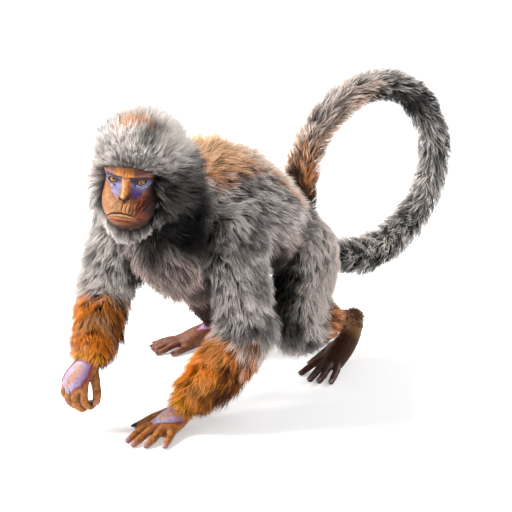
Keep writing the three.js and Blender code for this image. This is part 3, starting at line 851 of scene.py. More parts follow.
# The tail and the orange hair round its root.
def tailMarkings(colours, spots):
    c = coatPaint
    tube, share, around, wobble, fine = take(spots, "tube share around wobble fine")
    root = np.linalg.norm(spots["points"] - tubes["tail"]["line"][0], axis=1)
    lay(colours, c["orange"] * 1.3, smooth(52, 34, root + 5 * fine))
    tail = tube == "tail"
    lay(colours, c["pale"] * 1.25, tail * 0.8)
    lay(colours, c["tail_tan"] * 1.35, tail * smooth(0.37, 0.27, share + 0.04 * wobble))
    # Painted light: paler on the tail's outer side near the root.
    lay(
        colours, c["pale"] * 1.6,
        tail * smooth(-0.2, -0.9, around[:, 1] + 0.3 * fine) * smooth(0.42, 0.3, share) * 0.7,
    )
    lay(colours, c["orange"] * 1.2, tail * smooth(0.14, 0.06, share + 0.03 * fine) * 0.9)
    lay(
        colours, c["rust"], tail * smooth(0.07, 0.03, share + 0.02 * fine) * smooth(-0.4, 0.4, around[:, 1])
    )
    # Painted shade: browner on the tail's inner side near the root.
    lay(
        colours, c["brown"],
        tail * smooth(0.1, 1.1, around[:, 1] + 0.4 * fine) * smooth(0.3, 0.22, share) * 0.25,
    )
    blotch = np.zeros(len(fine))
    for place, half, side in tailPatches:
        near = np.exp(-(((share - place + 0.012 * fine) / half) ** 2))
        blotch = np.maximum(
            blotch, near * smooth(-0.45, 0.35, side * around[:, 1] + 0.3 * (1 - abs(side)) + 0.35 * fine)
        )
    blotch = np.maximum(blotch, 0.58 * smooth(0.3, 1.0, fine) * (share > 0.3))
    lay(colours, c["black"], tail * smooth(0.25, 0.6, blotch) * smooth(0.22, 0.3, share) * 0.96)


def markings(where, points):
    spots = dict(where, points=points, wobble=drift(points, 45, 3), fine=drift(points, 16, 4))
    colours = np.tile(coatPaint["grey"], (len(points), 1))
    lay(colours, coatPaint["dark"], 0.55 * smooth(0.0, 1.0, spots["fine"] + 0.5 * spots["wobble"]))
    for layMarks in (trunkMarkings, hoodMarkings, limbMarkings, tailMarkings):
        layMarks(colours, spots)
    return colours


# Which tube each point belongs to, and where it lies on it.
def whereOn(points, outward):
    names = np.array([name for name in tubes if name != "core"])
    best = np.full(len(points), 1e9)
    owner = np.zeros(len(points), int)
    share, around = np.zeros(len(points)), np.zeros((len(points), 2))
    lie = np.zeros((len(points), 3))
    for i, name in enumerate(names):
        gap, part, along, turned = nearTube(tubes[name], points)
        if name == "neck":
            along = -along
        if name in ("skull", "jaw"):
            along = headLie(points)
        lie += along * np.exp(-np.maximum(gap, 0) / 9)[:, None]
        closer = gap < best
        best = np.where(closer, gap, best)
        owner = np.where(closer, i, owner)
        share = np.where(closer, part, share)
        around[closer] = turned[closer]
    return {
        "tube": names[owner], "share": share, "around": around, "lie": unit(lie), "outward": outward,
        "down": -outward[:, 2],
    }


# Hair on the head runs away from the face; on cheeks and beard it also falls.
def headLie(points):
    local = layoutToHead(points)
    way = unit(local - np.array((2, 40, 4)))
    face = unit(np.array((0, -1, -0.3)))
    lie = way * (way @ face)[:, None] - face
    lie[:, 2] -= 0.5 * (1 - smooth(-30, 25, local[:, 2]))
    return unit(lie) @ headTurn.T


# Colours of the bare skin.
facePaint = {
    "tan": paint(172, 116, 72), "deep": paint(120, 60, 28), "pale": paint(226, 176, 130),
    "lavender": paint(142, 136, 180),
    "white": paint(180, 174, 204), "purple": paint(88, 44, 124), "plum": paint(40, 28, 66),
    "mauve": paint(134, 88, 88),
    "brow": paint(240, 156, 84), "strip": paint(204, 162, 128), "lip": paint(196, 118, 66),
    "chin": paint(128, 58, 16),
    "dark": paint(26, 12, 8), "rose": paint(188, 140, 172), "red": paint(136, 42, 6),
}
# The marked patch round each eye: on the animal's left, and on its right with x turned positive.
eyePatches = {
    1: [
        (7.6, 4), (8.4, -12), (11.5, -18.5), (18, -18.5), (24, -13), (29, -8), (33.5, -3), (34.5, 3),
        (31, 8.5), (12, 8),
    ],
    -1: [
        (3.6, 6), (5, -4), (6.2, -12), (11, -19.5), (13.5, -20), (18, -16), (24, -9), (33, -3.5), (38, 3),
        (37, 9), (10, 8.5),
    ],
}


# Signed distance to a closed outline, positive inside.
def insideOutline(x, z, outline):
    inside = np.zeros(x.shape, bool)
    near = np.full(x.shape, 1e9)
    for (x0, z0), (x1, z1) in zip(outline, outline[1:] + outline[:1]):
        dx, dz = x1 - x0, z1 - z0
        t = np.clip(((x - x0) * dx + (z - z0) * dz) / (dx * dx + dz * dz), 0, 1)
        near = np.minimum(near, np.hypot(x - x0 - t * dx, z - z0 - t * dz))
        if z0 != z1:
            cross = ((z0 > z) != (z1 > z)) & (x < dx * (z - z0) / (z1 - z0) + x0)
            inside ^= cross
    return np.where(inside, near, -near)


# Muzzle, cheeks and brow, with painted shade on the face's left side and painted highlights on the ridge
# left of the philtrum and on the brow's top and right end.
def browTint(tint, spots):
    c = facePaint
    x, z, side, small = take(spots, "x z side small")
    brow = smooth(10.5, 12.5, z)
    muzzle = smooth(-12, -22, z)
    # Painted shade: the left of the muzzle turns red-brown. Painted highlight on the ridge left of the
    # philtrum.
    lay(tint, c["red"], smooth(9, 26, x + 4 * small) * muzzle * 0.9)
    lay(tint, c["brow"], bell(x, 4, 6) * smooth(-22, -26, z) * smooth(-38, -35, z) * 0.6)
    # Painted shade: dark on the left cheek below the brow.
    lay(tint, c["dark"], smooth(22, 35, x + small) * smooth(12, 0, z) * 0.9)
    lay(tint, c["brow"], brow * 0.9)
    lay(tint, c["mauve"], brow * smooth(10, 17, side + 1.5 * small) * 0.85)
    # Painted shade on the brow's left side.
    lay(tint, c["dark"], brow * smooth(12, 38, x) * 0.3)
    # Painted highlights on the brow's top and its right end.
    lay(tint, c["pale"], brow * smooth(20, 23, z) * (0.5 + 0.25 * small) * smooth(8, -8, x))
    lay(tint, c["pale"], brow * smooth(30, 36, side) * smooth(0, -10, x) * 0.4)
    lay(tint, c["deep"], brow * smooth(9, 6, side) * smooth(0.3, 0.9, np.sin(x * 1.7 + 0.4)) * 0.45)


# The marked patches under the eyes: deeper purple with a darker rim on the animal's left as painted shade,
# paler on its right as painted light.
def patchTint(tint, spots):
    c = facePaint
    x, z, side, small, tiny = take(spots, "x z side small tiny")
    patch = np.where(x > 0, insideOutline(side, z, eyePatches[1]), insideOutline(side, z, eyePatches[-1]))
    lavender = mixTo(np.tile(c["lavender"], (len(x), 1)), c["rose"], smooth(-12, -20, z) * 0.8 * (x < 0))
    # Painted light: paler on the right patch.
    lay(lavender, c["white"], (x < 0) * smooth(0.2, -0.8, small) * 0.7)
    # Painted shade: deeper purple on the left patch, and a darker rim on it.
    purple = 0.35 + 0.6 * smooth(-3, -14, z) + 0.3 * smooth(14, 8, side)
    purple = purple - 0.5 * smooth(14, 22, side) * smooth(-14, -7, z)
    lay(lavender, c["purple"], (x > 0) * np.clip(purple, 0, 1))
    lay(tint, lavender, smooth(-1.0, 1.0, patch + 0.5 * tiny))
    lay(
        tint, c["plum"],
        bell(patch, -0.4, 1.0) * ((x > 0) | (z < 0)) * smooth(5, -2, z)
        * np.where(x > 0, 0.75, 0.25),
    )


# Lids, the rims round them and the shade under the brow.
def lidTint(tint, spots):
    c = facePaint
    x, z, side, gap, above = take(spots, "x z side gap above")
    lay(tint, c["white"], smooth(3.4, 2.0, gap) * np.where(above, 0.4, 0.75))
    lay(tint, c["plum"], smooth(1.2, 3.0, gap) * smooth(7.0, 4.0, gap) * above * 0.7)
    lay(tint, c["plum"], bell(gap, 3.5, 0.85) * ~above * 0.92)
    lay(tint, c["white"], bell(gap, 5.6, 1.1) * ~above * 0.7)
    lay(tint, c["plum"], bell(gap, 7.6, 0.9) * ~above * smooth(12, 20, side) * 0.4)
    lay(
        tint, c["plum"],
        np.exp(-(((side - 10.8) + 0.25 * (z + 3)) / 0.9) ** 2) * smooth(-12, -8, z) * smooth(6, 2, z)
        * (x > 0) * 0.8,
    )
    lay(tint, c["dark"], smooth(np.where(above, 2.8, 1.5), 0.2, gap) * 0.94)
    under = z - 10.3 + 0.06 * np.maximum(side - 20, 0) ** 1.3
    fade = np.where(under > 0, under / 0.9, under / np.where(x > 0, 5.6, 3.0))
    lay(tint, c["dark"], bell(fade, 0, 1) * smooth(38, 30, side) * 0.9)


# The bridge of the nose with a painted highlight along it, and the painted shade beside it.
def noseTint(tint, spots):
    c = facePaint
    x, z = take(spots, "x z")
    across = np.where(x > 0, smooth(7.5, 5.5, x), smooth(-5.4, -3.8, x))
    # Painted highlight along the ridge of the bridge.
    bridge = mixTo(np.tile(c["brow"], (len(x), 1)), c["pale"], 0.6 * smooth(4.5, 0, np.abs(x + 1.5)))
    lay(tint, bridge, across * smooth(-21, -17, z) * smooth(12, 8, z))
    lay(tint, c["dark"], bell(x, 7.2, 1.3) * smooth(-18, -12, z) * smooth(11, 6, z) * 0.75)
    lay(tint, c["deep"], bell(x, 5.0, 1.6) * smooth(-19, -14, z) * smooth(9, 4, z) * 0.6)


# Lips and chin.
def mouthTint(tint, spots):
    c = facePaint
    x, z, side, tiny = take(spots, "x z side tiny")
    lip = z - mouthLine(x)
    inMouth = smooth(mouth["half"] + 1, mouth["half"] - 3, side)
    stripLow = mouth["strip"] * np.sqrt(np.clip(1 - (side / mouth["half"]) ** 2, 0.02, 1))
    strip = smooth(0.2, -0.8, lip) * smooth(-stripLow - 0.6, -stripLow + 0.6, lip) * inMouth
    stripTone = mixTo(np.tile(c["strip"], (len(x), 1)), c["lip"], smooth(2, 22, x) * 0.7 + 0.2 * tiny)
    lay(tint, stripTone, strip * 0.95)
    lipLow = stripLow + mouth["lip"] * (0.5 + 0.5 * stripLow / mouth["strip"])
    rim = smooth(-stripLow + 0.5, -stripLow - 0.5, lip) * smooth(-lipLow - 1, -lipLow + 0.6, lip)
    lay(tint, c["lip"], rim * inMouth)
    lay(tint, c["dark"], np.exp(-((lip + stripLow + 0.1) / 0.7) ** 2) * inMouth * 0.75)
    # Painted shadow under the lower lip, stronger on the left.
    lay(tint, c["dark"], np.exp(-((lip + lipLow + 0.8) / 1.0) ** 2) * inMouth * np.where(x > 0, 0.9, 0.5))
    lay(tint, c["chin"], smooth(-45, -52, z) * (0.7 + 0.3 * smooth(-10, 20, x)))
    # Painted shade under the chin, reaching higher on the left.
    lay(tint, c["dark"], smooth(-50, -66, z + 0.35 * np.clip(-x, -20, 14)) * 0.85)


# Creases darkened with painted shade, ridges between them paled with painted highlights, and painted shade
# at the edge under the hair.
def foldTint(tint, spots):
    c = facePaint
    x, z, side, gap, edge = take(spots, "x z side gap edge")
    cavity = np.clip(-faceDetail(x, z), 0, 3)
    lay(tint, c["dark"], np.where(gap > 9, smooth(0.12, 1.7, cavity) * 0.95, 0))
    ridge = smooth(0.4, 0.0, cavity) * smooth(-24, -27, z) * smooth(-38, -35, z) * smooth(30, 20, side)
    lay(tint, c["pale"], ridge * 0.3 * (0.6 + 0.6 * np.sin(side * 1.9)))
    lay(tint, c["dark"], np.where(x > 0, smooth(7, 1, edge) * 0.9, smooth(2.5, 0, edge) * 0.5))


def faceTint(points, colours):
    c = facePaint
    x, y, z = layoutToHead(points).T
    wide, _ = faceSection(np.clip(z, faceRows[0][0], faceRows[-1][0]))
    onFace = (z > -77) & (z < 31) & (np.abs(x) < wide + 2.5) & (y < 20)
    onFace &= ~hairOnFace(x, y, z)
    x, z, at = x[onFace], z[onFace], points[onFace]
    big, small, tiny = drift(at, 22, 31), drift(at, 7, 32), drift(at, 2.6, 33)
    gap, above = lidGap(x, z)
    side = np.abs(x)
    spots = {"x": x, "z": z, "side": side, "small": small, "tiny": tiny, "gap": gap, "above": above}
    spots["edge"] = wide[onFace] - side
    tint = mixTo(np.tile(c["tan"], (len(x), 1)), c["deep"], 0.2 + 0.2 * big + 0.16 * small + 0.12 * tiny)
    # Painted light: paler towards the face's right side.
    lay(tint, c["pale"], smooth(0.3, 1.2, small + tiny) * 0.3 * smooth(14, 0, x))
    # Painted shade: darker towards both sides of the face.
    lay(tint, c["deep"], smooth(28, 40, side) * 0.5)
    for layTint in (browTint, patchTint, lidTint, noseTint, mouthTint, foldTint):
        layTint(tint, spots)
    out = colours.copy()
    out[onFace] = tint
    return out


# Where hair, not bare skin, covers the face piece: over the brow, behind the cheeks, under the chin.
def hairOnFace(x, y, z):
    side = np.abs(x)
    brow = z > 24.5 - 0.004 * side * side - 5 * smooth(27, 40, side)
    cheek = y > np.interp(z, [-70, -45, -20, 0, 10, 20], [4, 8, 10, 9, 11, 10])
    chin = z < -70 + 0.006 * side * side
    return brow | cheek | chin


handPaint = {
    "tan": paint(190, 120, 56), "deep": paint(92, 44, 18), "lavender": paint(174, 158, 186),
    "purple": paint(152, 118, 164),
    "line": paint(130, 40, 60), "fuzz": paint(190, 130, 80), "knuckle": paint(52, 24, 12),
    "foot": paint(128, 78, 52),
    "rose": paint(190, 136, 126), "sole": paint(60, 38, 32),
}
# The marked patch on the back of both hands and the right foot: [sideways, share of the palm's length].
backPatch = {
    "hand_l": [(-0.6, 0.2), (-1.0, 0.6), (-0.95, 1.1), (-0.35, 1.15), (0.6, 0.75), (0.95, 0.4), (0.6, 0.1)],
    "hand_r": [
        (-0.5, 0.3), (-0.75, 0.8), (-0.8, 1.3), (-0.15, 1.5), (0.8, 0.95), (0.95, 0.55), (0.85, 0.15)
    ],
    "foot_r": [(0.0, 0.0), (0.05, 0.5), (0.45, 0.72), (0.75, 0.45), (0.75, 0.0)],
}


# Which of the points lie on a hand or foot, and where they lie on its palm and digits.
def onExtremity(name, points, reach):
    group = endTubes[name]
    spine = np.vstack([t["line"] for t in group.values()])
    index = np.nonzero(((points > spine.min(0) - 26) & (points < spine.max(0) + 26)).all(1))[0]
    found = {part: nearTube(tube, points[index]) for part, tube in group.items()}
    arm = nearTube(tubes[extremities[name]["wrist"]], points[index])
    mine = (np.min([f[0] for f in found.values()], axis=0) < reach) & ((arm[0] > -1.0) | (arm[1] > 0.93))
    return index[mine], {part: [v[mine] for v in f] for part, f in found.items()}


# The marked patch on the back of a hand or foot.
def backTint(tint, name, around, along, small, tiny, onBack):
    c = handPaint
    outline = [(u * 10, v * 26) for u, v in backPatch[name]]
    patch = insideOutline(around[:, 0] * 10, along * 26, outline)
    lavender = mixTo(
        np.tile(c["lavender"], (len(tint), 1)), c["purple"], smooth(0, 0.9, around[:, 0]) * 0.8
    )
    lay(tint, lavender, smooth(-0.3, 0.5, patch) * onBack)
    lay(tint, c["fuzz"], smooth(3.6, 5.6, patch + 1.2 * small) * onBack * (0.75 + 0.2 * tiny))
    lay(tint, c["line"], bell(patch, 0, 0.75) * onBack * 0.85)


# One finger or toe: dark underneath and in the folds of its joints, rosy at the tip.
def digitTint(tint, name, n, found):
    c = handPaint
    digitGap, share, _, under = found[f"digit{n}"]
    on = smooth(2.5, 0.5, digitGap) * (found["palm"][0] > 1.5)
    lay(tint, c["knuckle"], on * smooth(0.1, -0.6, under[:, 1]) * 0.8)
    bends = len(extremities[name]["digits"][n - 1][0]) - 1
    fold = bell((share * bends + 0.5) % 1, 0.5, 0.07) * (0.5 + 0.5 * np.cos(share * bends * 60))
    lay(tint, c["knuckle"], on * fold * 0.7)
    lay(tint, c["rose"], on * smooth(0.8, 1.0, share) * 0.45 * (name != "foot_l"))


def extremityTint(points, colours):
    c = handPaint
    out = colours.copy()
    for name in endTubes:
        index, found = onExtremity(name, points, 2.2)
        at = points[index]
        foot = name.startswith("foot")
        small, tiny = drift(at, 9, 41), drift(at, 3, 42)
        base, deep = c["foot"] if foot else c["tan"], c["deep"]
        # Painted shade: the left foot is dark all over.
        if name == "foot_l":
            base, deep = base * 0.35, deep * 0.4
        tint = mixTo(np.tile(base, (len(at), 1)), deep, 0.26 + 0.2 * small + 0.12 * tiny)
        palmGap, _, _, around = found["palm"]
        along = extremityAlong(name, at)
        if name in backPatch:
            onBack = smooth(-0.2, 0.1, around[:, 1]) * smooth(7, 3, palmGap)
            backTint(tint, name, around, along, small, tiny, onBack)
        lay(tint, c["sole"], smooth(0.1, 0.7, -around[:, 1]) * smooth(8, 3, palmGap) * 0.7)
        lay(tint, c["fuzz"] * 0.6, smooth(0.4, 0.1, along) * (0.85 if name == "foot_l" else 0))
        for n in range(1, 6):
            digitTint(tint, name, n, found)
        # Painted shade on the bottom of the right fist.
        lay(tint, c["knuckle"], smooth(34, 8, at[:, 2]) * (0.75 if name == "hand_r" else 0))
        # Painted shade between the digits.
        webs = np.sort([found[f"digit{n}"][0] for n in range(1, 6)], axis=0)
        lay(tint, c["knuckle"], smooth(4.0, 0.5, webs[1] - webs[0]) * smooth(4, 1, webs[0]) * 0.85)
        out[index] = tint
    return out


# Distance past the wrist end of a palm, as a share of the palm's length.
def extremityAlong(name, points):
    line = endTubes[name]["palm"]["line"]
    axis = line[-1] - line[0]
    return (points - line[0]) @ axis / (axis @ axis)


# A new material with the given shader values, and the colours it reads from an attribute.
def startMaterial(name, attribute, values):
    material = bpy.data.materials.new(name)
    material.use_nodes = True
    nodes = material.node_tree.nodes
    shader = nodes["Principled BSDF"]
    setInputs(shader, values)
    colour = nodes.new("ShaderNodeAttribute")
    colour.attribute_name = attribute
    return material, shader, colour.outputs["Color"]


# Fine relief from the grain group, with its strength and depth in metres.
def addGrain(material, shader, strength, depth, values):
    nodes, links = material.node_tree.nodes, material.node_tree.links
    grain = nodes.new("ShaderNodeGroup")
    grain.node_tree = leatherGrain
    setInputs(grain, values)
    bump = nodes.new("ShaderNodeBump")
    setInputs(bump, {"Strength": strength, "Distance": depth})
    links.new(grain.outputs["Height"], bump.inputs["Height"])
    links.new(bump.outputs["Normal"], shader.inputs["Normal"])
    return grain


# A node group with fine pores and lines, shared by bare skin and nails.
def makeLeatherGrain():
    group = bpy.data.node_groups.new("leather_grain", "ShaderNodeTree")
    face = group.interface
    for label, value in (("Pore size", 900.0), ("Wrinkle size", 260.0), ("Wrinkle share", 0.6)):
        face.new_socket(label, in_out="INPUT", socket_type="NodeSocketFloat").default_value = value
    face.new_socket("Height", in_out="OUTPUT", socket_type="NodeSocketFloat")
    face.new_socket("Mottle", in_out="OUTPUT", socket_type="NodeSocketFloat")
    nodes, links = group.nodes, group.links
    start, end = nodes.new("NodeGroupInput"), nodes.new("NodeGroupOutput")
    place = nodes.new("ShaderNodeTexCoord")
    pores = nodes.new("ShaderNodeTexVoronoi")
    links.new(place.outputs["Object"], pores.inputs["Vector"])
    links.new(start.outputs["Pore size"], pores.inputs["Scale"])
    wrinkles = nodes.new("ShaderNodeTexNoise")
    setInputs(wrinkles, {"Detail": 6, "Roughness": 0.65, "Distortion": 0.8})
    links.new(place.outputs["Object"], wrinkles.inputs["Vector"])
    links.new(start.outputs["Wrinkle size"], wrinkles.inputs["Scale"])
    mix = nodes.new("ShaderNodeMix")
    links.new(start.outputs["Wrinkle share"], mix.inputs["Factor"])
    links.new(pores.outputs["Distance"], mix.inputs["A"])
    links.new(wrinkles.outputs["Fac"], mix.inputs["B"])
    links.new(mix.outputs["Result"], end.inputs["Height"])
    links.new(wrinkles.outputs["Fac"], end.inputs["Mottle"])
    return group


leatherGrain = makeLeatherGrain()


def skinMaterial():
    material, shader, colour = startMaterial("bare_skin", "skinColour", {
        "Specular IOR Level": 0.32, "Subsurface Weight": 0.08,
        "Subsurface Radius": (1.0, 0.35, 0.2), "Subsurface Scale": 0.002,
    })
    nodes, links = material.node_tree.nodes, material.node_tree.links
    grain = addGrain(material, shader, 0.35, 0.0006, {})
    levels = nodes.new("ShaderNodeMapRange")
    setInputs(levels, {"From Min": 0.35, "From Max": 0.62, "To Min": 0.62, "To Max": 1.12})
    links.new(grain.outputs["Mottle"], levels.inputs["Value"])
    darken = nodes.new("ShaderNodeMix")
    darken.data_type, darken.blend_type = "RGBA", "MULTIPLY"
    darken.inputs[0].default_value = 1.0
    links.new(colour, darken.inputs[6])
    links.new(levels.outputs["Result"], darken.inputs[7])
    links.new(darken.outputs[2], shader.inputs["Base Color"])
    rough = nodes.new("ShaderNodeMapRange")
    setInputs(rough, {"To Min": 0.42, "To Max": 0.66})
    links.new(grain.outputs["Height"], rough.inputs["Value"])
    links.new(rough.outputs["Result"], shader.inputs["Roughness"])
    return material


facePoints, faceFaces = faceMesh()
print("stage: face", len(faceFaces))


# Joins closed meshes into one skin with no seam.
def joinSkins(parts):
    base = parts[0]
    for i, other in enumerate(parts[1:]):
        cut = base.modifiers.new(f"join{i}", "BOOLEAN")
        cut.operation, cut.solver, cut.object = "UNION", "MANIFOLD", other
    whole = bpy.data.meshes.new_from_object(base.evaluated_get(bpy.context.evaluated_depsgraph_get()))
    for part in parts:
        bpy.data.objects.remove(part)
    whole.materials.clear()
    skin = bpy.data.objects.new("skin", whole)
    bpy.context.scene.collection.objects.link(skin)
    return skin


parts = [
    meshObject("skin_body", toFrame(bodyPoints), bodyFaces),
    meshObject("skin_face", toFrame(facePoints), faceFaces),
]
endTubes = {name: extremityTubes(name) for name in extremities}
for name, group in endTubes.items():
    field = tubeField(group, **endGrid, floor=0.0)
    endPoints, endFaces = fieldMesh(field)
    parts.append(meshObject("skin_" + name, toFrame(endPoints), endFaces))
    print("stage:", name, len(endFaces))
skin = joinSkins(parts)
print("stage: skin joined", len(skin.data.polygons))
co = np.zeros(len(skin.data.vertices) * 3)
skin.data.vertices.foreach_get("co", co)
skinPoints = co.reshape(-1, 3) * 1000 + layoutOrigin
gap, outward = fieldAt(bodyField, skinPoints)
# Painted shade: the skin under the coat takes the coat's markings but much darker, so gaps between locks
# look dark.
under = markings(whereOn(skinPoints, outward), skinPoints) * 0.12
skinTint = faceTint(skinPoints, extremityTint(skinPoints, under))
setColours(skin, "skinColour", skinTint)
skin.data.materials.append(skinMaterial())


# The hood's outer surface, as reach from its middle in a given direction of the head's own frame,
# with a hollow where the face sits.
hoodShape = {"middle": (5, 44, 8), "radius": 76}
hoodRows = [
    (0.15, 0.6, 0.9, 0.75, 12), (0.8, 0, -0.6, 0.55, 24), (-0.74, -0.1, -0.6, 0.5, 27),
    (-0.1, -0.35, -0.93, 0.5, 40), (0, 1, -0.1, 0.6, 12), (0.75, 0.45, 0.55, 0.45, 9),
]
hollow = {"depth": 34, "turn": -4, "half": 46, "top": 14, "bottom": -54, "soft": 6}
hoodMiddle = headToLayout(hoodShape["middle"])


def hoodDepth(points):
    off = layoutToHead(points) - np.array(hoodShape["middle"])
    way = unit(off)
    reach = np.full(len(points), float(hoodShape["radius"]))
    for x, y, z, spread, rise in hoodRows:
        gap = np.linalg.norm(way - unit(np.array((x, y, z), float)), axis=1) / spread
        reach += rise * np.exp(-gap * gap)
    turn = np.degrees(np.arctan2(way[:, 0], -way[:, 1])) - hollow["turn"]
    height = np.degrees(np.arcsin(way[:, 2]))
    borders = (hollow["half"] - np.abs(turn), hollow["top"] - height, height - hollow["bottom"])
    inside = [1 / (1 + np.exp(-border / hollow["soft"])) for border in borders]
    return reach - hollow["depth"] * inside[0] * inside[1] * inside[2] - np.linalg.norm(off, axis=1)


# A piece of coat: its tube and the part of it that it covers, number of locks, their length, the height
# of their tips over the skin and their width in mm, spacing of tufts, how tightly these close, how far
# they stray in direction, their wave, how much the hair falls and hangs, how light the piece is and how
# even in tone its locks are. Without a height, the tips end on the hood's outer surface.
coatCommon = {
    "part": (0, 1), "long": 28, "high": 18, "wide": 1.15, "tuft": 6.5, "close": 0.45, "mess": 0.24,
    "wave": 1.5, "fall": 0.3, "hang": 0, "light": 1, "soft": 0,
}
coatPieces = {
    "coat_crown": {
        "tube": "skull", "locks": 19600, "long": 18, "high": None, "wide": 0.85, "tuft": 4, "close": 0.2,
        "mess": 0.1, "wave": 0.6, "fall": 0, "light": 1.06, "soft": 0.4,
    },
    "coat_ruff": {
        "tube": "jaw", "locks": 19500, "long": 24, "high": None, "wide": 1.1, "close": 0.7, "mess": 0.6,
        "wave": 3, "fall": 0.45, "light": 1.1,
    },
    "coat_neck": {"tube": "neck", "locks": 6500, "high": 24, "wide": 1.2, "tuft": 7, "mess": 0.25},
    "coat_chest": {
        "tube": "trunk", "part": (0, 0.46), "locks": 15000, "high": 22, "wide": 1.2, "fall": 0.85
    },
    "coat_back": {
        "tube": "trunk", "part": (0.46, 1), "locks": 15000, "high": 21, "wide": 1.2, "mess": 0.22,
        "fall": 0.75,
    },
    "coat_arm_l": {"tube": "upper_arm_l", "locks": 11500, "long": 27, "high": 19, "close": 0.5},
    "coat_arm_r": {
        "tube": "upper_arm_r", "locks": 9500, "long": 27, "high": 22, "close": 0.5, "fall": 0.25
    },
    "coat_forearm_l": {
        "tube": "forearm_l", "locks": 8500, "long": 33, "wide": 1.05, "tuft": 6, "close": 0.6, "mess": 0.26,
        "fall": 0.4, "hang": 0.1,
    },
    "coat_forearm_r": {
        "tube": "forearm_r", "locks": 6500, "long": 33, "wide": 1.05, "tuft": 6, "close": 0.6, "mess": 0.26,
        "hang": 0.1,
    },
    "coat_leg_l": {"tube": "thigh_l", "locks": 10000, "long": 26, "high": 17, "mess": 0.22, "fall": 0.2},
    "coat_leg_r": {
        "tube": "thigh_r", "locks": 3500, "long": 26, "high": 17, "wide": 1.3, "mess": 0.22, "fall": 0.2,
    },
    "coat_shin_l": {
        "tube": "shin_l", "locks": 4500, "long": 20, "high": 15, "wide": 1.1, "tuft": 6, "close": 0.5,
        "mess": 0.3,
    },
    "coat_shin_r": {
        "tube": "shin_r", "locks": 3500, "long": 20, "high": 13, "wide": 1.1, "tuft": 6, "close": 0.5,
        "mess": 0.3,
    },
    "coat_tail": {
        "tube": "tail", "locks": 13500, "long": 24, "high": 15, "wide": 1.1, "tuft": 6, "wave": 1.2,
        "fall": 0.1,
    },
}
coatPieces = {name: coatCommon | own for name, own in coatPieces.items()}
# Rings of points from root to tip, size of a lock's patch in the map, tufts across a clump, how far a
# lock narrows, and how far its middle and tip stray in mm.
lockShape = {"rings": 2, "uvPatch": 0.003, "clump": 3.5, "taper": 0.75, "strayMiddle": 0.6, "strayTip": 1.1}
# How uneven tufts, clumps and single locks are in brightness, how dark the painted shade is on the coat
# just outside the hood and how far that shade reaches to the sides and upwards, in mm, and how dark the
# painted shade in deep crevices is.
coatShade = {
    "tuft": 0.13, "clump": 0.1, "lock": 0.36, "hoodLeast": 0.03, "hoodSide": 44, "hoodTop": 22,
    "crevice": (0.1, 0.5), "creviceShade": 0.92,
}
# From root to tip: how bright a lock is, and how much richer its colour; darker and richer towards the root
# as painted shade among the locks.
lockShades = [0.08, 0.58, 1.25]
lockRich = [1.4, 1.15, 1.0]


# Random roots spread evenly over the given triangles, and the triangles' area.
def coatRoots(points, faces, count, rng):
    a, b, c = (points[faces[:, k]] for k in range(3))
    area = np.linalg.norm(np.cross(b - a, c - a), axis=1) / 2
    pick = rng.choice(len(faces), count, p=area / area.sum())
    r1, r2 = np.sqrt(rng.random(count)), rng.random(count)
    roots = a[pick] * (1 - r1)[:, None] + b[pick] * (r1 * (1 - r2))[:, None] + c[pick] * (r1 * r2)[:, None]
    return roots, area.sum()


# Where hair grows: not on the bare face, hands and feet.
def growth(points):
    x, y, z = layoutToHead(points).T
    grows = ~((np.abs(x) < 42) & (z < 31.5) & (z > -78) & (y < 22) & ~hairOnFace(x, y, z))
    for name in extremities:
        index, _ = onExtremity(name, points, 2.6)
        grows[index[extremityAlong(name, points[index]) > (0.16 if name == "foot_l" else -0.1)]] = False
    return grows


# The tuft that each root belongs to, and the root that leads it.
def tuftOf(roots, spacing, area, rng):
    centres = rng.choice(len(roots), max(8, int(area / spacing ** 2)), replace=False)
    tree = kdtree.KDTree(len(centres))
    for i, c in enumerate(centres):
        tree.insert(roots[c], i)
    tree.balance()
    jitter = roots + rng.normal(size=roots.shape) * spacing * 0.15
    return np.array([tree.find(p)[1] for p in jitter]), centres


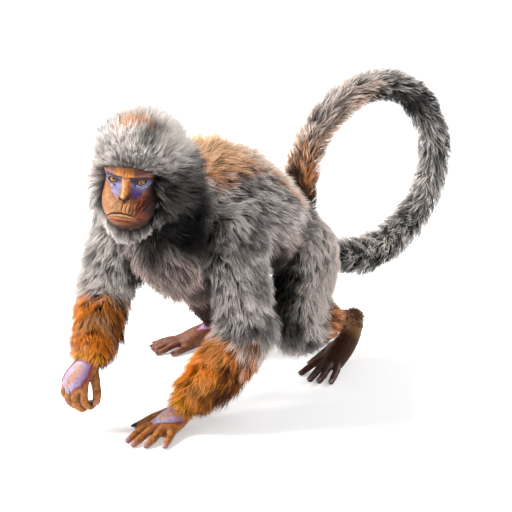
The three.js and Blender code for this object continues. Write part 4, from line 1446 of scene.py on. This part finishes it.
# Points of every lock from root to tip, following the lie of the coat at a height over the skin.
def combLocks(roots, where, size, tuft, clump, rng):
    count, rings = len(roots), lockShape["rings"]
    layer = rng.random(count)

    def each(ids, spread):
        return (rng.normal(size=ids.max() + 1) * spread)[ids]

    gap, outward = fieldAt(bodyField, roots)
    hang = size["hang"] * smooth(-0.2, 0.7, where["down"])
    swell = 1 + 0.09 * drift(roots, 60, 8) + 0.05 * drift(roots, 26, 9)
    long = size["long"] * (0.75 + 0.4 * rng.random(count)) * np.exp(each(tuft, 0.12))
    long *= where["ends"] * (1 + 0.4 * hang)
    long *= 1.08 - 0.08 * where["stray"]
    lift = (0.76 + 0.5 * layer) * np.exp(each(tuft, 0.1) + each(clump, 0.06)) * (1 + hang) * swell
    lie = where["lie"].copy()
    lie[:, 2] -= size["fall"]
    turn = (each(tuft, size["mess"]) + each(clump, size["mess"] * 0.5)) * where["stray"]
    lie += np.tan(np.clip(turn, -1.1, 1.1))[:, None] * np.cross(outward, lie)
    lie = unit(lie) + 0.12 * rng.normal(size=lie.shape)
    path = [roots]
    p, now = roots, outward
    for k in range(1, rings + 1):
        s = k / rings
        way = unit(lie - now * np.einsum("ij,ij->i", lie, now)[:, None])
        p = p + way * (long / rings)[:, None]
        rise = lift * (1 - (1 - s) ** 1.7)
        if size["high"]:
            gapHere, now = fieldAt(bodyField, p)
            height = np.maximum(gap, 0) * (1 - 0.5 * s) + size["high"] * where["ends"] * rise
            p = p + now * (height - gapHere)[:, None]
        else:
            now = unit(p - hoodMiddle)
            deep = hoodDepth(roots)
            p = p + now * (hoodDepth(p) - deep + np.maximum(deep, 9) * 0.94 * rise)[:, None]
        path.append(p)
    path = np.stack(path, 1)
    path[:, -1] += rng.normal(size=(count, 3)) * lockShape["strayTip"]
    path[:, -2] += rng.normal(size=(count, 3)) * lockShape["strayMiddle"]
    return path, outward, layer


# Draws the locks of a tuft together towards the tip and bends them alike.
def closeTufts(path, roots, size, tuft, leaders, stray, rng):
    count = len(roots)
    lead = path[leaders[tuft]]
    share = np.linspace(0, 1, path.shape[1]) ** 1.3
    pull = (share[None, :] * (size["close"] * (0.6 + 0.6 * rng.random(count)))[:, None])[:, :, None]
    pull[np.linalg.norm(roots - roots[leaders[tuft]], axis=1) > 2.2 * size["tuft"]] = 0
    side = np.cross(unit(path[:, -1] - path[:, 0]), rng.normal(size=(len(leaders), 3))[tuft])
    phase = rng.random(len(leaders))[tuft] * 2 * math.pi
    bend = np.sin(phase[:, None] + 4.2 * share[None, :]) * share[None, :] * size["wave"] * stray[:, None]
    return path * (1 - pull) + lead * pull + unit(side)[:, None, :] * bend[:, :, None]


# How much of the space over a point other parts of the body fill, which sets the painted shade in crevices;
# the hood counts for all but the head.
def crevice(points, outward, hooded):
    filled = np.zeros(len(points))
    for reach, share in ((22, 0.3), (42, 0.4), (70, 0.3)):
        at = points + outward * reach
        gap, _ = fieldAt(bodyField, at)
        if hooded:
            gap = np.minimum(gap, -hoodDepth(at))
        filled += share * np.clip(1 - gap / reach, 0, 1)
    return filled


# Closed three-sided locks round the paths, in one mesh.
def lockMesh(name, path, outward, wide, colours, unwrap):
    count, rings = path.shape[0], path.shape[1] - 1
    patch = lockShape["uvPatch"]
    rows, maps, tints = [], [], []
    for k in range(rings):
        along = unit(path[:, k + 1] - path[:, max(k - 1, 0)])
        side = unit(np.cross(along, outward))
        over = np.cross(side, along)
        half = (wide * (1 - lockShape["taper"] * (k / rings) ** 1.5) / 2)[:, None]
        for j, (s, o) in enumerate(((-1, -0.3), (1, -0.3), (0, 0.6))):
            rows.append(path[:, k] + half * (s * side + o * over))
            maps.append(unwrap + np.array((s * patch / 2, (k / rings - 0.5) * patch)))
            tints.append(colours[:, k])
    rows.append(path[:, -1])
    maps.append(unwrap + np.array((0, patch / 2)))
    tints.append(colours[:, -1])
    each = 3 * rings + 1
    points = np.stack(rows, 1).reshape(-1, 3)
    uvs = np.stack(maps, 1).reshape(-1, 2)
    tint = np.stack(tints, 1).reshape(-1, 3)
    pattern = [(0, 2, 1)]
    for k in range(rings - 1):
        for j in range(3):
            a, b = 3 * k + j, 3 * k + (j + 1) % 3
            pattern += [(a, b, b + 3), (a, b + 3, a + 3)]
    last = 3 * (rings - 1)
    pattern += [(last + j, last + (j + 1) % 3, each - 1) for j in range(3)]
    faces = (np.array(pattern)[None] + (np.arange(count) * each)[:, None, None]).reshape(-1, 3)
    piece = meshObject(name, toFrame(points), faces)
    setColours(piece, "coatColour", tint)
    layer = piece.data.uv_layers.new(name="OFBake")
    layer.data.foreach_set("uv", np.ascontiguousarray(uvs[faces.ravel()], np.float32).ravel())
    return piece


# How brightly each lock is coloured: uneven from tuft to tuft, with painted shade on lower-lying locks, in
# broad patches, beside the hood, in deep folds and in crevices.
def coatLight(path, roots, outward, size, tuft, clump, layer, rng):
    c, middle = coatShade, path[:, -2]
    tuftTone, clumpTone = rng.normal(size=tuft.max() + 1)[tuft], rng.normal(size=clump.max() + 1)[clump]
    shade = np.exp(tuftTone * c["tuft"] + clumpTone * c["clump"])
    # Painted shade: locks lying lower are darker, and broad patches lighter and darker like the shade of
    # the coat's folds.
    shade *= (0.66 + 0.5 * layer) * (0.82 + c["lock"] * rng.random(len(roots)))
    shade *= (1 + 0.36 * drift(roots, 55, 8) + 0.22 * drift(roots, 24, 9)) * size["light"]
    # Painted shadow of the hood on the coat just outside it, and painted shade in deep folds.
    if size["high"]:
        far = np.where(outward[:, 2] > 0.25, c["hoodTop"], c["hoodSide"])
        shade *= c["hoodLeast"] + (1 - c["hoodLeast"]) * smooth(4, far, -hoodDepth(middle))
        for place, reach, dark in darkFolds:
            shade *= 1 - dark * smooth(reach, 0.4 * reach, np.linalg.norm(middle - place, axis=1))
    # Painted shade in crevices.
    filled = crevice(roots, outward, bool(size["high"]))
    return shade * (1 - c["creviceShade"] * smooth(*c["crevice"], filled))


# Where each root lies on an unwrap of its own tube: round it and along it.
def unwrapRoots(where, part):
    low, high = part
    across = np.arctan2(where["around"][:, 0], where["around"][:, 1]) / (2 * math.pi) + 0.5
    upward = np.clip((where["share"] - low) / (high - low), 0, 1)
    return np.stack([0.01 + 0.98 * across, 0.01 + 0.98 * upward], 1)


def makeCoat(name, size, seed):
    rng = np.random.default_rng(seed)
    low, high = size["part"]
    mine = hairyWhere["tube"] == size["tube"]
    if size["part"] != coatCommon["part"]:
        mine &= (hairyWhere["share"] >= low) & (hairyWhere["share"] < high)
    roots, area = coatRoots(skinPoints, hairyFaces[mine], size["locks"], rng)
    where = whereOn(roots, fieldAt(bodyField, roots)[1])
    where["ends"] = lockEnds(where, roots)
    x, _, z = layoutToHead(roots).T
    where["stray"] = 1 + 6 * smooth(28, 48, x) * smooth(64, 34, z) * (name == "coat_crown")
    tuft, leaders = tuftOf(roots, size["tuft"], area, rng)
    clump, _ = tuftOf(roots, size["tuft"] * lockShape["clump"], area, rng)
    path, outward, layer = combLocks(roots, where, size, tuft, clump, rng)
    path = closeTufts(path, roots, size, tuft, leaders, where["stray"], rng)
    spread = path[:, -2] * 0.4 + path[:, -1] * 0.6 + rng.normal(size=roots.shape) * 3
    base = markings(where, spread)
    shade = coatLight(path, roots, outward, size, tuft, clump, layer, rng)
    tones = np.array(lockShades) * (1 - size["soft"]) + size["soft"]
    colours = base[:, None, :] ** np.array(lockRich)[None, :, None] * (shade[:, None] * tones)[:, :, None]
    wide = size["wide"] * (0.6 + 0.7 * rng.random(len(roots)))
    wide *= 0.5 + 0.5 * np.minimum(where["ends"], 1.2)
    colours /= np.maximum(colours.max(-1, keepdims=True), 1)
    piece = lockMesh(name, path, outward, wide, colours, unwrapRoots(where, size["part"]))
    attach(piece, "root")
    piece.data.materials.append(coatHair)
    print("stage:", name, len(piece.data.polygons))
    return piece


# Locks are shorter towards bare skin.
def lockEnds(where, roots):
    ends = np.ones(len(roots))
    hang = smooth(-0.2, 0.7, where["down"])
    share = where["share"]
    for side in "lr":
        arm = where["tube"] == "forearm_" + side
        ends = np.where(arm, 1.1 - smooth(0.6, 0.98, share) * (0.5 + 0.3 * hang), ends)
        shin = where["tube"] == "shin_" + side
        ends = np.where(shin, 1.15 - 0.95 * smooth(0.2, 0.8, share), ends)
    rump = where["tube"] == "thigh_l"
    ends = np.where(rump, 1 - 0.4 * smooth(0.45, 0.0, share) * smooth(0, 0.7, where["outward"][:, 1]), ends)
    high = smooth(0.2, 0.8, where["outward"][:, 2]) * smooth(0.4, 0.8, share)
    low = smooth(0.3, 0.85, where["down"]) * smooth(0.1, 0.3, share)
    ends = np.where(where["tube"] == "trunk", 1 - 0.4 * high - 0.6 * low, ends)
    tail = where["tube"] == "tail"
    ends = np.where(tail, np.interp(share, [0, .15, .4, .55, .8, 1], [.95, .92, .9, 1.0, 1.25, 1.35]), ends)
    head = (where["tube"] == "skull") | (where["tube"] == "jaw")
    return np.where(head, np.clip(hoodDepth(roots) / 34, 0.35, 1.5), ends)


def coatMaterial():
    material, shader, colour = startMaterial(
        "coat_hair", "coatColour", {"Roughness": 0.55, "Specular IOR Level": 0.2}
    )
    material.node_tree.links.new(colour, shader.inputs["Base Color"])
    return material


coatHair = coatMaterial()
skin.data.calc_loop_triangles()
corners = np.zeros(len(skin.data.loop_triangles) * 3, np.int32)
skin.data.loop_triangles.foreach_get("vertices", corners)
skinFaces = corners.reshape(-1, 3)
hairyFaces = skinFaces[growth(skinPoints[skinFaces].mean(1))]
hairyWhere = whereOn(skinPoints[hairyFaces].mean(1), outward[hairyFaces[:, 0]])
print("stage: hairy skin", len(hairyFaces))
for n, (name, size) in enumerate(coatPieces.items()):
    makeCoat(name, size, 11 + n)


eyeball = {
    "rings": 40, "sides": 64, "iris": 0.78, "pupil": 0.1, "bulge": 0.7, "gaze": (0.14, -1, 0.19),
    "lift": 0.13,
}
eyePaint = {
    "white": paint(120, 84, 62), "rim": paint(52, 26, 10), "iris": paint(170, 104, 30),
    "glow": paint(206, 146, 56), "inner": paint(104, 54, 20), "pupil": paint(40, 22, 10),
}


def makeEye(name, side):
    e = eyeball
    gaze = unit(np.array(e["gaze"], float) + (0, 0, e["lift"] * (side < 0)))
    right = unit(np.cross(gaze, (0, 0, 1)))
    above = np.cross(right, gaze)
    polar = np.linspace(0, math.pi, e["rings"] + 1) ** 1.3
    polar *= math.pi / polar[-1]
    turn = np.arange(e["sides"]) / e["sides"] * 2 * math.pi
    aa, tt = np.meshgrid(polar[1:-1], turn, indexing="ij")
    reach = eyeSize["radius"] - 0.35 + e["bulge"] * np.exp(-(aa / 0.5) ** 2)
    way = gaze * np.cos(aa)[..., None] + right * (np.sin(aa) * np.cos(tt))[..., None]
    way += above * (np.sin(aa) * np.sin(tt))[..., None]
    rows = (way * reach[..., None]).reshape(-1, 3)
    ends = np.array([gaze * (eyeSize["radius"] - 0.35 + e["bulge"]), -gaze * (eyeSize["radius"] - 0.35)])
    points = np.vstack([ends[:1], rows, ends[1:]]) + (side * eyeSize["apart"] / 2, eyeSize["back"], 0)
    faces = turnedOut(points, roundFaces(e["rings"] - 1, e["sides"]))
    angle = np.concatenate([[0], aa.ravel(), [math.pi]])
    spin = np.concatenate([[0], tt.ravel(), [0]])
    streak = 0.5 + 0.3 * np.sin(spin * 17 + 2 * np.sin(spin * 5)) + 0.2 * np.sin(spin * 41)
    c = eyePaint
    tint = np.tile(c["white"], (len(points), 1))
    lay(tint, c["rim"], smooth(e["iris"] + 0.16, e["iris"], angle))
    lay(tint, c["iris"], smooth(e["iris"] - 0.02, e["iris"] - 0.14, angle))
    lay(tint, c["glow"], smooth(e["iris"] - 0.1, 0.38, angle) * (0.35 + 0.5 * streak))
    lay(tint, c["inner"], smooth(0.34, 0.2, angle) * 0.8)
    lay(tint, c["pupil"], smooth(e["pupil"] + 0.05, e["pupil"] - 0.02, angle))
    piece = meshObject(name, toFrame(headToLayout(points)), faces)
    setColours(piece, "eyeColour", tint)
    piece.data.materials.append(amberEye)
    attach(piece, "root")
    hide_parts(name.replace("eyeball", "eye"))
    return piece


def eyeMaterial():
    material, shader, colour = startMaterial(
        "amber_eye", "eyeColour", {"Roughness": 0.3, "Coat Weight": 0.4, "Coat Roughness": 0.12}
    )
    nodes, links = material.node_tree.nodes, material.node_tree.links
    flecks = nodes.new("ShaderNodeTexNoise")
    flecks.inputs["Scale"].default_value = 900
    place = nodes.new("ShaderNodeTexCoord")
    links.new(place.outputs["Object"], flecks.inputs["Vector"])
    mix = nodes.new("ShaderNodeMix")
    mix.data_type, mix.blend_type = "RGBA", "OVERLAY"
    mix.inputs[0].default_value = 0.5
    links.new(colour, mix.inputs[6])
    links.new(flecks.outputs["Fac"], mix.inputs[7])
    links.new(mix.outputs[2], shader.inputs["Base Color"])
    return material


amberEye = eyeMaterial()
for name, side in (("eyeball_l", 1), ("eyeball_r", -1)):
    makeEye(name, side)
print("stage: eyes")


# Half sizes and place are shares of the digit's half width, as in the solids.
nailShape = {
    "wide": 0.56, "long": 0.86, "thick": 0.1, "beyond": 0.2, "above": 0.66, "arch": 0.3, "rings": 10,
    "sides": 20,
}
nailPaint = {
    "pink": paint(188, 150, 150), "edge": paint(226, 208, 196), "dark": paint(38, 30, 30),
    "foot": paint(96, 74, 70),
}


def makeNail(end, n):
    s = nailShape
    points, thick = extremities[end]["digits"][n]
    before, tip = (np.array(p, float) for p in points[-2:])
    along = unit(tip - before)
    wide = unit(np.cross(along, (0, 0, 1)))
    back = np.cross(wide, along)
    polar = np.linspace(0, math.pi, s["rings"] + 1)[1:-1]
    turn = np.arange(s["sides"]) / s["sides"] * 2 * math.pi
    aa, tt = np.meshgrid(polar, turn, indexing="ij")
    u = np.concatenate([[0], (np.sin(aa) * np.cos(tt)).ravel(), [0]])
    v = np.concatenate([[0], (np.sin(aa) * np.sin(tt)).ravel(), [0]])
    w = np.concatenate([[1], np.cos(aa).ravel(), [-1]])
    square = np.maximum(np.abs(u), np.abs(v)) ** 0.25 + 1e-6
    u, v = u / np.maximum(square, 0.6), v / np.maximum(square, 0.6)
    high = w * s["thick"] - s["arch"] * u * u - 0.1 * v * v
    spot = tip + along * thick * s["beyond"] + back * thick * s["above"]
    place = spot + thick * (
        wide * (u * s["wide"])[:, None] + along * (v * s["long"])[:, None] + back * high[:, None]
    )
    faces = turnedOut(place, roundFaces(len(polar), s["sides"]))
    c = nailPaint
    base = c["dark"] if (end, n) == ("hand_l", 0) else c["foot"] if end.startswith("foot") else c["pink"]
    tint = mixTo(
        np.tile(base, (len(place), 1)), c["edge"], smooth(0.55, 0.95, v) * (0.0 if n == 0 else 0.6)
    )
    piece = meshObject(f"claw_{end}_{n + 1}", toFrame(place), faces)
    setColours(piece, "nailColour", tint)
    piece.data.materials.append(nailHorn)
    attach(piece, "root")
    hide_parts(f"nail_{end}_{n + 1}")


def nailMaterial():
    material, shader, colour = startMaterial("nail_horn", "nailColour", {"Roughness": 0.32})
    addGrain(material, shader, 0.2, 0.0003, {"Pore size": 500.0, "Wrinkle share": 0.9})
    material.node_tree.links.new(colour, shader.inputs["Base Color"])
    return material


nailHorn = nailMaterial()
for end in extremities:
    for n in range(5):
        makeNail(end, n)
print("stage: nails")

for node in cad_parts:
    if not node.startswith(("eye", "nail")):
        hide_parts(node)
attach(skin, "root")
